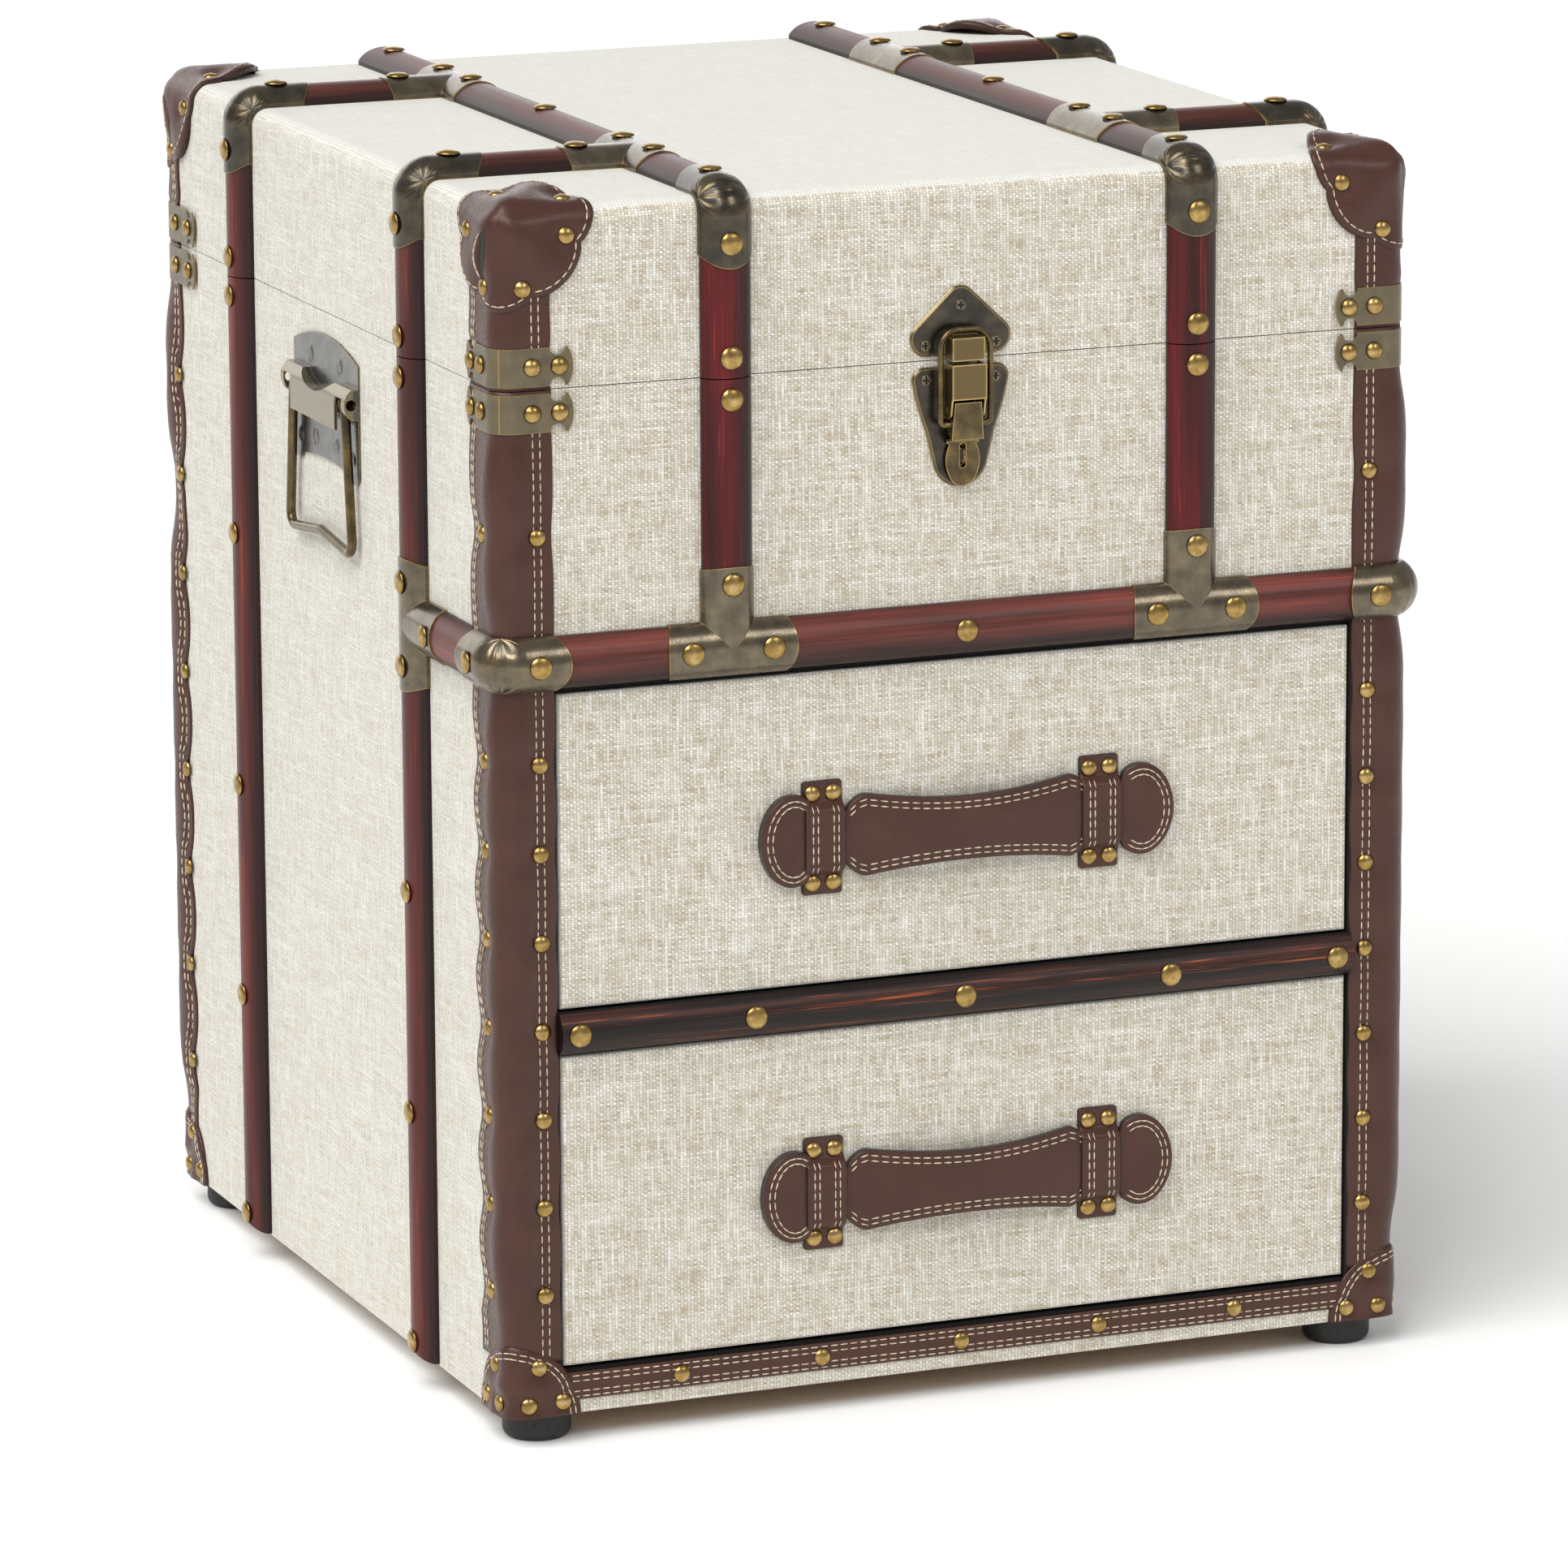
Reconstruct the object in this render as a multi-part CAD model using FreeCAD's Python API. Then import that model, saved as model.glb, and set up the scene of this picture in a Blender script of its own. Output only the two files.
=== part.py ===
import FreeCAD
import Part
import math
import os

# Linen-covered trunk chest: a lift lid over an upper compartment, with two drawers below it.
# Millimetres, +Z up, front towards -Y, the floor at zero, the origin under the middle of the box.

# Carcass and lid, measured over the linen
chest_width = 448.0
chest_depth = 474.0
foot_height = 14.0
upper_panel_height = 138.5
lid_height = 82.1
seam_gap = 0.5
panel_thickness = 12.0
edge_radius = 9.0
lid_edge_radius = 8.0
overrun = 1.0
same_place = 1e-6
sharp_joins = 2
diagonal_share = math.sqrt(0.5)

# Front openings
bottom_rail_height = 21.0
drawer_opening_height = 149.5
drawer_rail_height = 19.0
front_gap = 1.5
rail_reveal = 1.8

# Drawers and what they run on
drawer_front_thickness = 14.0
drawer_front_round = 2.0
drawer_side_thickness = 10.0
drawer_side_drop = 37.5
drawer_bottom_thickness = 5.0
drawer_bottom_inset = 6.0
drawer_back_gap = 20.0
drawer_lift = 2.5
runner_clearance = 0.2
guide_clearance = 1.0
guide_height = 28.0
runner_width = 32.0
drawer_stop_gap = 1.0

# Feet
foot_radius = 16.0
foot_inset = 20.5
foot_round = 4.0

# Leather
leather_thickness = 1.2
strip_front_leg = 25.5
strip_side_leg = 34.0
strip_rear_side_leg = 21.0
strip_back_leg = 40.0
lid_patch_radius = 46.0
bottom_patch_radius = 34.0
band_low = 6.3
band_height = 13.3

# Straps over the corners, above and below the lid joint
strap_height = 17.5
strap_seam_gap = 1.75
strap_sheet = 0.8
strap_front_leg = 35.7
strap_side_leg = 35.0
strap_rear_side_leg = 46.5
strap_back_leg = 35.7
strap_tip_radius = 16.0
strap_bite_radius = 3.7
strap_bite_inset = 7.5

# Half-round battens
batten_width = 24.0
batten_thickness = 9.0
batten_flank = 2.0
batten_end_rise = 1.4
drawer_batten_thickness = 7.0
slat_inset = 109.0
side_slat_front_inset = 107.0
side_slat_rear_inset = 122.0
side_slat_bottom_gap = 1.0
long_slat_rear_gap = 11.0

# Stamped brackets over the battens
bracket_sheet = 0.8
bracket_seat = 0.05
elbow_arm = 24.0
elbow_end_rise = 6.4
tee_bar_half = 31.5
tee_stem = 38.5
rail_corner_arm = 16.5
rail_corner_overlap = 5.0
tee_bar_rise = 3.2
tee_stem_rise = 1.6
end_margin = 0.4

# Studs and screws
small_stud_radius = 4.3
small_stud_height = 2.6
large_stud_radius = 5.6
large_stud_height = 2.05
stud_sides = 8
stud_crown_share = 0.62
screw_radius = 2.6
screw_height = 0.7
strip_stud_inset = 17.6
strip_stud_below_seam = 67.0
strip_stud_below_rail = 46.8
strip_stud_above_foot = 57.6
strip_stud_count = 7
rear_stud_below_seam = 65.5
rear_stud_count = 8
strap_stud_insets = (16.0, 29.0)
strap_rear_stud_insets = (17.6, 37.0)
bottom_patch_studs = ((14.0, 23.5), (9.0, 6.0), (25.5, 6.5))
lid_patch_studs = ((12.0, 36.0), (33.0, 13.0))
elbow_stud_inset = 16.5
elbow_stud_drop = 20.5
seam_stud_offset = 9.5
side_stud_shares = (0.736, 0.474, 0.253, 0.021)
tee_bar_stud = 19.7
tee_stem_stud = 30.5
rail_corner_stud = 15.5
long_slat_end_stud = 19.0
drawer_rail_stud_shares = (0.0, 0.524, 0.957)
band_stud_shares = (0.0, 0.353, 0.705)

# Draw latch: heights are from the lid joint, depths outwards from the linen
latch_plate_sheet = 1.5
latch_plate_bevel = 0.9
keeper_base_half = 37.0
keeper_low = 2.0
keeper_high = 36.9
keeper_round = 8.0
keeper_screws = ((0.0, 24.9), (17.3, 7.1), (-17.3, 7.1))
lug_half = 8.0
lug_low = 0.6
lug_reach = 11.0
lug_wall = 1.0
plate_shoulder_half = 24.0
plate_top = -3.0
plate_shoulder_round = 6.0
plate_waist_half = 17.5
plate_waist = -32.0
plate_foot_half = 13.5
plate_foot = -47.5
plate_bottom = -59.0
plate_hip_half = 21.5
plate_hip = -20.0
plate_screws = ((17.0, -8.8), (-17.0, -8.8))
channel_half = 8.5
channel_wall = 0.8
channel_reach = 12.0
channel_top = -1.0
channel_bottom = -17.2
ear_radius = 4.0
lever_pin_height = -22.5
lever_pin_depth = 6.0
lever_pin_radius = 1.2
lever_pin_clearance = 0.1
lever_clearance = 0.4
lever_sheet = 0.8
lever_top = -18.8
lever_top_half = 6.5
lever_top_depth = 10.4
lever_knee = -36.0
lever_knee_half = 7.9
lever_knee_depth = 9.6
lever_step = -37.5
lever_tab_depth = 3.6
lever_tab_end = -58.5
lever_tab_half = 8.4
lever_tab_level = -46.0
lever_tab_neck = -38.8
lever_tab_neck_half = 6.5
lever_tab_hip = -54.4
lever_tab_hip_half = 6.2
lever_back_depth = 3.0
lever_back_low = -32.0
lever_heel_depth = 5.0
lever_heel = -18.6
tab_slot_half = 1.5
tab_slot_top = -38.5
tab_slot_bottom = -50.0
staple_height = -44.3
staple_radius = 3.9
staple_wire_radius = 0.75
bail_wire_radius = 1.4
bail_pivot_drop = 6.5
bail_pivot_out = 1.0
bail_half = 12.3
bail_top = 14.5
bail_corner_radius = 8.5
bail_hook_radius = 2.2
bail_seat = 1.9
bail_hole_clearance = 0.12

# Side carrying handles: heights are from the axis of the bail
handle_below_seam = 36.5
handle_offset = 3.5
handle_plate_sheet = 1.2
handle_plate_half = 46.0
handle_plate_top = 26.0
handle_plate_shoulder = 18.0
handle_plate_bottom = -39.0
handle_foot_rise = 3.5
handle_plate_arch = -33.3
handle_foot_width = 12.0
handle_screws = ((21.0, 14.0), (-21.0, 14.0), (37.5, -27.4), (-37.5, -27.4), (14.5, -25.0), (-14.5, -25.0))
housing_height = 14.4
housing_reach = 8.2
housing_flank = 3.4
housing_half = 46.0
housing_tongue_half = 32.0
housing_tongue_drop = 13.5
housing_tongue_sheet = 1.4
housing_slot_end = 41.6
housing_dish = 6.8
housing_dish_half = 23.0
handle_wire_radius = 2.3
handle_wire_clearance = 0.4
handle_wire_depth = 4.6
handle_top_half = 37.0
handle_foot_half = 45.0
handle_drop = 72.0
handle_notch = 5.2
handle_bend_radius = 6.0
handle_hook_end = 25.0

# Leather drawer pulls: depths outwards from the linen
pull_drop = 4.0
pull_half = 105.5
pull_lobe_radius = 21.0
pull_shoulder_half = 58.0
pull_shoulder_height = 19.0
pull_waist_height = 15.0
pull_neck_height = 10.5
pull_thickness = 3.4
pull_seat = 0.6
pull_rise = 4.9
loop_spread = 138.2
loop_width = 19.7
loop_half_height = 26.75
loop_thickness = 1.8
loop_clearance = 0.3
loop_foot = 16.0
loop_slope = 4.0
loop_studs = (5.1, 20.8)

# Butt hinges at the back
hinge_inset = 104.0
hinge_width = 44.0
hinge_leaf_height = 26.0
hinge_leaf_sheet = 1.2
hinge_knuckle_radius = 2.4
hinge_axis_depth = 2.7
hinge_pin_radius = 1.2
hinge_pin_clearance = 0.1
hinge_knuckle_gap = 0.4
hinge_barrel_half_share = 0.17
hinge_screw_spread_share = 0.3
hinge_screw_height_share = 0.6

# Worked-out levels and places
half_width = chest_width / 2
half_depth = chest_depth / 2
inner_half_width = half_width - panel_thickness
inner_half_depth = half_depth - panel_thickness
opening_half = half_width - strip_front_leg
lower_opening = foot_height + bottom_rail_height
drawer_rail_low = lower_opening + drawer_opening_height
upper_opening = drawer_rail_low + drawer_rail_height
panel_low = upper_opening + drawer_opening_height
seam_height = panel_low + upper_panel_height
body_top = seam_height - seam_gap / 2
lid_low = seam_height + seam_gap / 2
lid_top_height = seam_height + lid_height
lid_wall_top = lid_top_height - panel_thickness
rail_middle = panel_low + rail_reveal + batten_width / 2
floor_low = panel_low
shelf_low = drawer_rail_low + (drawer_rail_height - panel_thickness) / 2
slat_x = half_width - slat_inset
slat_front_y = -half_depth + side_slat_front_inset
slat_rear_y = half_depth - side_slat_rear_inset
cover_width = batten_width + 2 * (bracket_sheet + bracket_seat)
cover_thickness = batten_thickness + bracket_sheet + bracket_seat
room_width = batten_width + 2 * bracket_seat
room_thickness = batten_thickness + bracket_seat
upper_strap_low = seam_height + strap_seam_gap
lower_strap_low = seam_height - strap_seam_gap - strap_height
corner_reach = leather_thickness + cover_thickness + large_stud_height
hinge_reach = hinge_axis_depth + hinge_knuckle_radius
frame_shift = (corner_reach - hinge_reach) / 2
bail_depth = lever_pin_depth + bail_pivot_out
bail_pivot_height = lever_pin_height - bail_pivot_drop
lever_half = channel_half - channel_wall - lever_clearance
drawer_front_half = opening_half - front_gap
drawer_length = chest_depth - drawer_front_thickness - panel_thickness - drawer_back_gap
drawer_side_height = drawer_opening_height - drawer_side_drop
handle_height = seam_height - handle_below_seam
handle_y = (slat_front_y + slat_rear_y) / 2 + handle_offset
loop_edge = (loop_spread + loop_width) / 2
drawer_side_outer = opening_half - guide_clearance - front_gap

LEFT = FreeCAD.Vector(-1, 0, 0)
RIGHT = FreeCAD.Vector(1, 0, 0)
FRONT = FreeCAD.Vector(0, -1, 0)
BACK = FreeCAD.Vector(0, 1, 0)
UP = FreeCAD.Vector(0, 0, 1)
DOWN = FreeCAD.Vector(0, 0, -1)
SIDES = (-1, 1)
ENDS = (-1, 1)


def vec(x, y, z):
    return FreeCAD.Vector(x, y, z)


def slab(xs, ys, zs):
    """A box between two values on each axis, in either order."""
    low = [min(pair) for pair in (xs, ys, zs)]
    size = [max(pair) - min(pair) for pair in (xs, ys, zs)]
    return Part.makeBox(*size, vec(*low))


def group(solids):
    return Part.makeCompound(solids)


def outline(steps):
    """A closed face from points, with an arc wherever a step gives a middle point as well."""
    edges = []
    here = steps[-1][-1]
    for step in steps:
        there = step[-1]
        if len(step) == 2:
            edges.append(Part.Arc(here, step[0], there).toShape())
        else:
            edges.append(Part.LineSegment(here, there).toShape())
        here = there
    return Part.Face(Part.Wire(edges))


def place(shape, at, along, outward):
    """Turn a shape so that its own +X runs along and its own +Z points outward, then move it."""
    turned = shape.copy()
    turn = FreeCAD.Rotation(along, outward.cross(along), outward, "ZXY")
    turned.Placement = FreeCAD.Placement(at, turn).multiply(turned.Placement)
    return turned


def on_wall(shape, outward, at):
    """Turn a shape about Z so that its own +Y points outward, then move it."""
    turned = shape.copy()
    angle = math.degrees(math.atan2(-outward.x, outward.y))
    turn = FreeCAD.Rotation(UP, angle)
    turned.Placement = FreeCAD.Placement(at, turn).multiply(turned.Placement)
    return turned


def on_front(shape, x, z):
    return on_wall(shape, FRONT, vec(x, -half_depth, z))


def upright_edges(solid, keep):
    """Vertical edges of a box whose middle passes the test."""
    found = []
    for edge in solid.Edges:
        low = edge.Vertexes[0].Point
        high = edge.Vertexes[-1].Point
        upright = abs(low.x - high.x) < same_place and abs(low.y - high.y) < same_place
        if upright and keep(edge.CenterOfMass):
            found.append(edge)
    return found


def rounded_box(grow, low, high):
    """The chest's own outline grown outwards, with round vertical edges."""
    box = slab((-half_width - grow, half_width + grow), (-half_depth - grow, half_depth + grow), (low, high))
    return box.makeFillet(edge_radius + grow, upright_edges(box, lambda middle: True))


def lid_form(grow):
    """The lid's outer form grown outwards, with a round top edge."""
    top = lid_top_height + grow
    box = rounded_box(grow, lid_low, top)
    rim = [edge for edge in box.Edges if abs(edge.CenterOfMass.z - top) < same_place]
    return box.makeFillet(lid_edge_radius + grow, rim)


def side_wall(side, low, high):
    """A full-depth side panel with its two outer vertical edges rounded."""
    wall = slab((side * inner_half_width, side * half_width), (-half_depth, half_depth), (low, high))
    edges = upright_edges(wall, lambda middle: abs(abs(middle.x) - half_width) < same_place)
    return wall.makeFillet(edge_radius, edges)


def cross_wall(end, low, high):
    """A panel between the side walls, at the front (-1) or the back (1)."""
    depth = (end * inner_half_depth, end * half_depth)
    return slab((-inner_half_width, inner_half_width), depth, (low, high))


def shelf(low):
    """A horizontal board between the four walls."""
    return slab((-inner_half_width, inner_half_width), (-inner_half_depth, inner_half_depth),
                (low, low + panel_thickness))


def front_bar(low, high):
    """A front rail between the stiles, flush with the linen."""
    return slab((-opening_half, opening_half), (-half_depth, -inner_half_depth), (low, high))


def front_stiles():
    solids = []
    for side in SIDES:
        solids.append(slab((side * opening_half, side * inner_half_width), (-half_depth, -inner_half_depth),
                           (foot_height, panel_low)))
    return group(solids)


def drawer_guides():
    """Under each drawer side a runner, and beside it a guide, on both sides of both drawers."""
    solids = []
    levels = ((foot_height + panel_thickness, lower_opening), (shelf_low + panel_thickness, upper_opening))
    start = -half_depth + drawer_front_thickness + drawer_stop_gap
    for board_top, opening in levels:
        runner_top = opening + front_gap + drawer_lift - runner_clearance
        for side in SIDES:
            outer = side * inner_half_width
            solids.append(slab((outer, side * (inner_half_width - runner_width)),
                               (start, inner_half_depth), (board_top, runner_top)))
            solids.append(slab((outer, side * (drawer_side_outer + guide_clearance)),
                               (start, inner_half_depth), (runner_top, runner_top + guide_height)))
    return group(solids)


def feet():
    profile = outline([
        (vec(0, 0, 0),),
        (vec(foot_radius - foot_round, 0, 0),),
        (vec(foot_radius - foot_round * (1 - diagonal_share), 0, foot_round * (1 - diagonal_share)),
         vec(foot_radius, 0, foot_round)),
        (vec(foot_radius, 0, foot_height),),
        (vec(0, 0, foot_height),),
    ])
    foot = profile.revolve(vec(0, 0, 0), UP, 360)
    solids = []
    for side in SIDES:
        for end in ENDS:
            copy = foot.copy()
            copy.translate(vec(side * (half_width - foot_inset), end * (half_depth - foot_inset), 0))
            solids.append(copy)
    return group(solids)


def corner_section(side, end, face_leg, side_leg, lift, sheet):
    """An L of bent sheet round one vertical edge, seen from above: lift is its gap from the linen."""
    inner = edge_radius + lift
    outer = inner + sheet
    corner_x = half_width - edge_radius
    corner_y = half_depth - edge_radius
    turn = diagonal_share

    def at(u, v):
        return vec(side * u, end * v, 0)

    return outline([
        (at(half_width - face_leg, corner_y + inner),),
        (at(corner_x, corner_y + inner),),
        (at(corner_x + inner * turn, corner_y + inner * turn), at(corner_x + inner, corner_y)),
        (at(corner_x + inner, half_depth - side_leg),),
        (at(corner_x + outer, half_depth - side_leg),),
        (at(corner_x + outer, corner_y),),
        (at(corner_x + outer * turn, corner_y + outer * turn), at(corner_x, corner_y + outer)),
        (at(half_width - face_leg, corner_y + outer),),
    ])


def corner_ball(side, end, level, radius):
    ball = Part.makeSphere(radius)
    ball.translate(vec(side * half_width, end * half_depth, level))
    return ball


def leather_strips(low, high, ball_level, ball_radius, let_in):
    """Leather down the four corners between two levels, cut away under the patches and the let-in rails."""
    solids = []
    for side in SIDES:
        for end, face_leg, side_leg in ((-1, strip_front_leg, strip_side_leg),
                                        (1, strip_back_leg, strip_rear_side_leg)):
            strip = corner_section(side, end, face_leg, side_leg, 0, leather_thickness)
            strip.translate(vec(0, 0, low))
            strip = strip.extrude(vec(0, 0, high - low))
            strip = strip.cut(corner_ball(side, end, ball_level, ball_radius))
            for rail in let_in:
                strip = strip.cut(rail)
            solids.extend(strip.Solids)
    return group(solids)


def leather_patches(form, level, radius):
    """The skin between a grown form and the form itself, kept within a ball at each corner."""
    skin = form(leather_thickness).cut(form(0))
    return group([skin.common(corner_ball(side, end, level, radius)).Solids[0]
                  for side in SIDES for end in ENDS])


def body_form(grow):
    return rounded_box(grow, foot_height, body_top)


def leather_band():
    low = foot_height + band_low
    band = slab((-opening_half, opening_half), (-half_depth, -half_depth - leather_thickness),
                (low, low + band_height))
    for side in SIDES:
        band = band.cut(corner_ball(side, -1, foot_height, bottom_patch_radius))
    return band


def strap_trim(along, outward, tip):
    """What is cut from a strap's end: outside a wide arc at the tip, and a bite from each long edge."""
    middle = strap_height / 2
    reach = leather_thickness + strap_sheet + overrun
    square = slab((-overrun, strap_tip_radius), (0, strap_height), (0, reach))
    arc = Part.makeCylinder(strap_tip_radius, reach, vec(strap_tip_radius, middle, 0), UP)
    trims = [square.cut(arc)]
    for edge in (0, strap_height):
        trims.append(Part.makeCylinder(strap_bite_radius, reach, vec(strap_bite_inset, edge, 0), UP))
    return [place(trim, tip, along, outward) for trim in trims]


def straps(low):
    """A bent strap round each corner, resting on the leather, with an axe-shaped tip on each leg."""
    solids = []
    for side in SIDES:
        for end, face_leg, side_leg in ((-1, strap_front_leg, strap_side_leg),
                                        (1, strap_back_leg, strap_rear_side_leg)):
            strap = corner_section(side, end, face_leg, side_leg, leather_thickness, strap_sheet)
            strap.translate(vec(0, 0, low))
            strap = strap.extrude(vec(0, 0, strap_height))
            face_tip = vec(side * (half_width - face_leg), end * half_depth, low)
            side_tip = vec(side * half_width, end * (half_depth - side_leg), low)
            for tip, along, outward in ((face_tip, vec(side, 0, 0), vec(0, end, 0)),
                                        (side_tip, vec(0, end, 0), vec(side, 0, 0))):
                if outward.cross(along).z < 0:
                    tip = tip.add(vec(0, 0, strap_height))
                for trim in strap_trim(along, outward, tip):
                    strap = strap.cut(trim)
            solids.extend(strap.Solids)
    return group(solids)


def half_round(width, thickness, flank, below=0.0):
    """A D-shaped section in the YZ plane, flat side on the surface, rounded towards +Z."""
    half = width / 2
    return outline([
        (vec(0, -half, -below),),
        (vec(0, -half, flank),),
        (vec(0, 0, thickness), vec(0, half, flank)),
        (vec(0, half, -below),),
    ])


def batten(length, rounded=False):
    """A half-round batten along +X, with its far end rounded over where asked."""
    bar = half_round(batten_width, batten_thickness, batten_flank).extrude(vec(length, 0, 0))
    if not rounded:
        return bar
    radius = batten_thickness
    top = batten_end_rise + radius
    turn = diagonal_share
    mask = outline([
        (vec(-overrun, 0, -overrun),),
        (vec(length, 0, -overrun),),
        (vec(length, 0, batten_end_rise),),
        (vec(length - radius + radius * turn, 0, batten_end_rise + radius * turn),
         vec(length - radius, 0, top)),
        (vec(-overrun, 0, top),),
    ])
    mask.translate(vec(0, -batten_width, 0))
    return bar.common(mask.extrude(vec(0, 2 * batten_width, 0)))


def bent_bar(section, radius, arm):
    """A section carried along -X, a quarter turn round an edge of the given radius, then along -Z."""
    pivot = vec(0, 0, -radius)
    flat = section.extrude(vec(-arm, 0, 0))
    bend = section.revolve(pivot, BACK, 90)
    turned = section.copy()
    turned.rotate(pivot, BACK, 90)
    drop = turned.extrude(vec(0, 0, -arm))
    return flat.fuse([bend, drop]).removeSplitter()


def round_ended(start, end, rise):
    """The plan of an arm along X in the XY plane, wider than its cover, with a bowed end."""
    half = cover_width / 2 + end_margin
    return outline([
        (vec(start, -half, 0),),
        (vec(end - rise, -half, 0),),
        (vec(end, 0, 0), vec(end - rise, half, 0)),
        (vec(start, half, 0),),
    ])


def standing(plan, reach):
    """A plan in the XY plane made a block that reaches as far below it as above."""
    plan.translate(vec(0, 0, -reach))
    return plan.extrude(vec(0, 0, 2 * reach))


def elbow(radius, arm):
    """A stamped sheet elbow with bowed ends that caps two battens where they meet over a round edge."""
    outer = bent_bar(half_round(cover_width, cover_thickness, batten_flank), radius, arm)
    inner = bent_bar(half_round(room_width, room_thickness, batten_flank, overrun), radius, arm + overrun)
    reach = 2 * (radius + arm)
    trim = standing(round_ended(-reach, arm, elbow_end_rise), reach)
    flat_trim = trim.copy()
    flat_trim.rotate(vec(0, 0, 0), UP, 180)
    drop_trim = trim.copy()
    drop_trim.rotate(vec(0, 0, 0), BACK, 90)
    drop_trim.translate(vec(0, 0, -radius))
    return outer.cut(inner).common(flat_trim).common(drop_trim)


def tee():
    """A stamped sheet tee: its bar along X over one batten, its stem along +Y over the one that meets it."""
    def crossing(width, thickness, below, longer):
        section = half_round(width, thickness, batten_flank, below)
        bar = section.extrude(vec(2 * (tee_bar_half + longer), 0, 0))
        bar.translate(vec(-tee_bar_half - longer, 0, 0))
        stem = section.extrude(vec(tee_stem + longer, 0, 0))
        stem.rotate(vec(0, 0, 0), UP, 90)
        return bar.fuse(stem).removeSplitter()

    room = crossing(room_width, room_thickness, overrun, overrun)
    arm = round_ended(0, tee_bar_half, tee_bar_rise)
    other_arm = arm.copy()
    other_arm.rotate(vec(0, 0, 0), UP, 180)
    stem = round_ended(0, tee_stem, tee_stem_rise)
    stem.rotate(vec(0, 0, 0), UP, 90)
    first, *rest = [standing(plan, tee_stem) for plan in (arm, other_arm, stem)]
    return crossing(cover_width, cover_thickness, 0, 0).cut(room).common(first.fuse(rest).removeSplitter())


def front_slats(low, high):
    solids = []
    for side in SIDES:
        solids.append(place(batten(high - low), vec(side * slat_x, -half_depth, low), UP, FRONT))
    return group(solids)


def side_slats(low, high, rounded):
    """Upright battens on both sides, built from the top down so that the foot can be rounded."""
    solids = []
    for outward in (LEFT, RIGHT):
        for y in (slat_front_y, slat_rear_y):
            bar = batten(high - low, rounded)
            solids.append(place(bar, vec(outward.x * half_width, y, high), DOWN, outward))
    return group(solids)


def front_rail():
    return place(batten(2 * opening_half), vec(-opening_half, -half_depth, rail_middle), RIGHT, FRONT)


def side_rails():
    """Short battens on both sides, from the rail's corner bracket to the edge of the front side slat."""
    start = -half_depth + edge_radius + rail_corner_arm
    length = slat_front_y - batten_width / 2 - start
    return group([place(batten(length), vec(outward.x * half_width, start, rail_middle), BACK, outward)
                  for outward in (LEFT, RIGHT)])


def drawer_rail():
    """The dark half-round rail between the drawers, on its flat backing bar."""
    section = half_round(drawer_rail_height, drawer_batten_thickness, batten_flank)
    rail = section.extrude(vec(2 * opening_half, 0, 0))
    middle = drawer_rail_low + drawer_rail_height / 2
    return place(rail, vec(-opening_half, -half_depth, middle), RIGHT, FRONT)


def rail_corner_brackets():
    """Elbows round the two front edges, on top of the leather."""
    solids = []
    for side in SIDES:
        bend = elbow(edge_radius + leather_thickness, rail_corner_arm + rail_corner_overlap)
        at = vec(side * (half_width - edge_radius), -half_depth - leather_thickness, rail_middle)
        solids.append(place(bend, at, vec(side, 0, 0), FRONT))
    return group(solids)


def front_tees():
    return [place(tee(), vec(side * slat_x, -half_depth, rail_middle), RIGHT, FRONT) for side in SIDES]


def side_tees():
    solids = []
    for outward in (LEFT, RIGHT):
        along = FRONT.cross(outward)
        solids.append(place(tee(), vec(outward.x * half_width, slat_front_y, rail_middle), along, outward))
    return solids


def lid_tees():
    solids = []
    for outward in (LEFT, RIGHT):
        along = outward.cross(UP)
        for y in (slat_front_y, slat_rear_y):
            solids.append(place(tee(), vec(outward.x * slat_x, y, lid_top_height), along, UP))
    return group(solids)


def long_slats():
    """Battens along the lid from its round front edge to just short of the back."""
    start = -half_depth + lid_edge_radius
    length = half_depth - long_slat_rear_gap - start
    return group([place(batten(length, True), vec(side * slat_x, start, lid_top_height), BACK, UP)
                  for side in SIDES])


def cross_slats():
    solids = []
    start = slat_x + batten_width / 2
    length = half_width - lid_edge_radius - start
    for outward in (LEFT, RIGHT):
        for y in (slat_front_y, slat_rear_y):
            solids.append(place(batten(length), vec(outward.x * start, y, lid_top_height), outward, UP))
    return group(solids)


def lid_elbows(outward):
    """Elbows over the lid's round edge, on the front or on one side."""
    if outward == FRONT:
        places = [vec(side * slat_x, -half_depth + lid_edge_radius, lid_top_height) for side in SIDES]
    else:
        places = [vec(outward.x * (half_width - lid_edge_radius), y, lid_top_height)
                  for y in (slat_front_y, slat_rear_y)]
    return [place(elbow(lid_edge_radius, elbow_arm), at, outward, UP) for at in places]


def turned(rings, sides):
    """A solid with flat sides round Z, through rings given as (radius, level) from the bottom up."""
    corners = []
    for radius, level in rings:
        angles = [2 * math.pi * step / sides for step in range(sides)]
        corners.append([vec(radius * math.cos(angle), radius * math.sin(angle), level) for angle in angles])
    faces = []
    for low, high in zip(corners, corners[1:]):
        for step in range(sides):
            after = (step + 1) % sides
            rim = [low[step], low[after], high[after], high[step], low[step]]
            faces.append(Part.Face(Part.makePolygon(rim)))
    for ring in (corners[0], corners[-1]):
        faces.append(Part.Face(Part.makePolygon(ring + ring[:1])))
    solid = Part.makeSolid(Part.makeShell(faces))
    return solid if solid.Volume > 0 else solid.reversed()


def head(radius, height):
    """A low faceted dome on the XY plane, for a stud or a screw."""
    return turned([(radius, 0), (radius * stud_crown_share, height)], stud_sides)


def heads(radius, height, spots):
    """One dome at each (point, outward) spot."""
    dome = head(radius, height)
    solids = []
    for at, outward in spots:
        along = UP if abs(outward.z) < same_place else RIGHT
        solids.append(place(dome, at, along, outward))
    return solids


def spaced(high, low, count):
    return [high + (low - high) * step / (count - 1) for step in range(count)]


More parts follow.
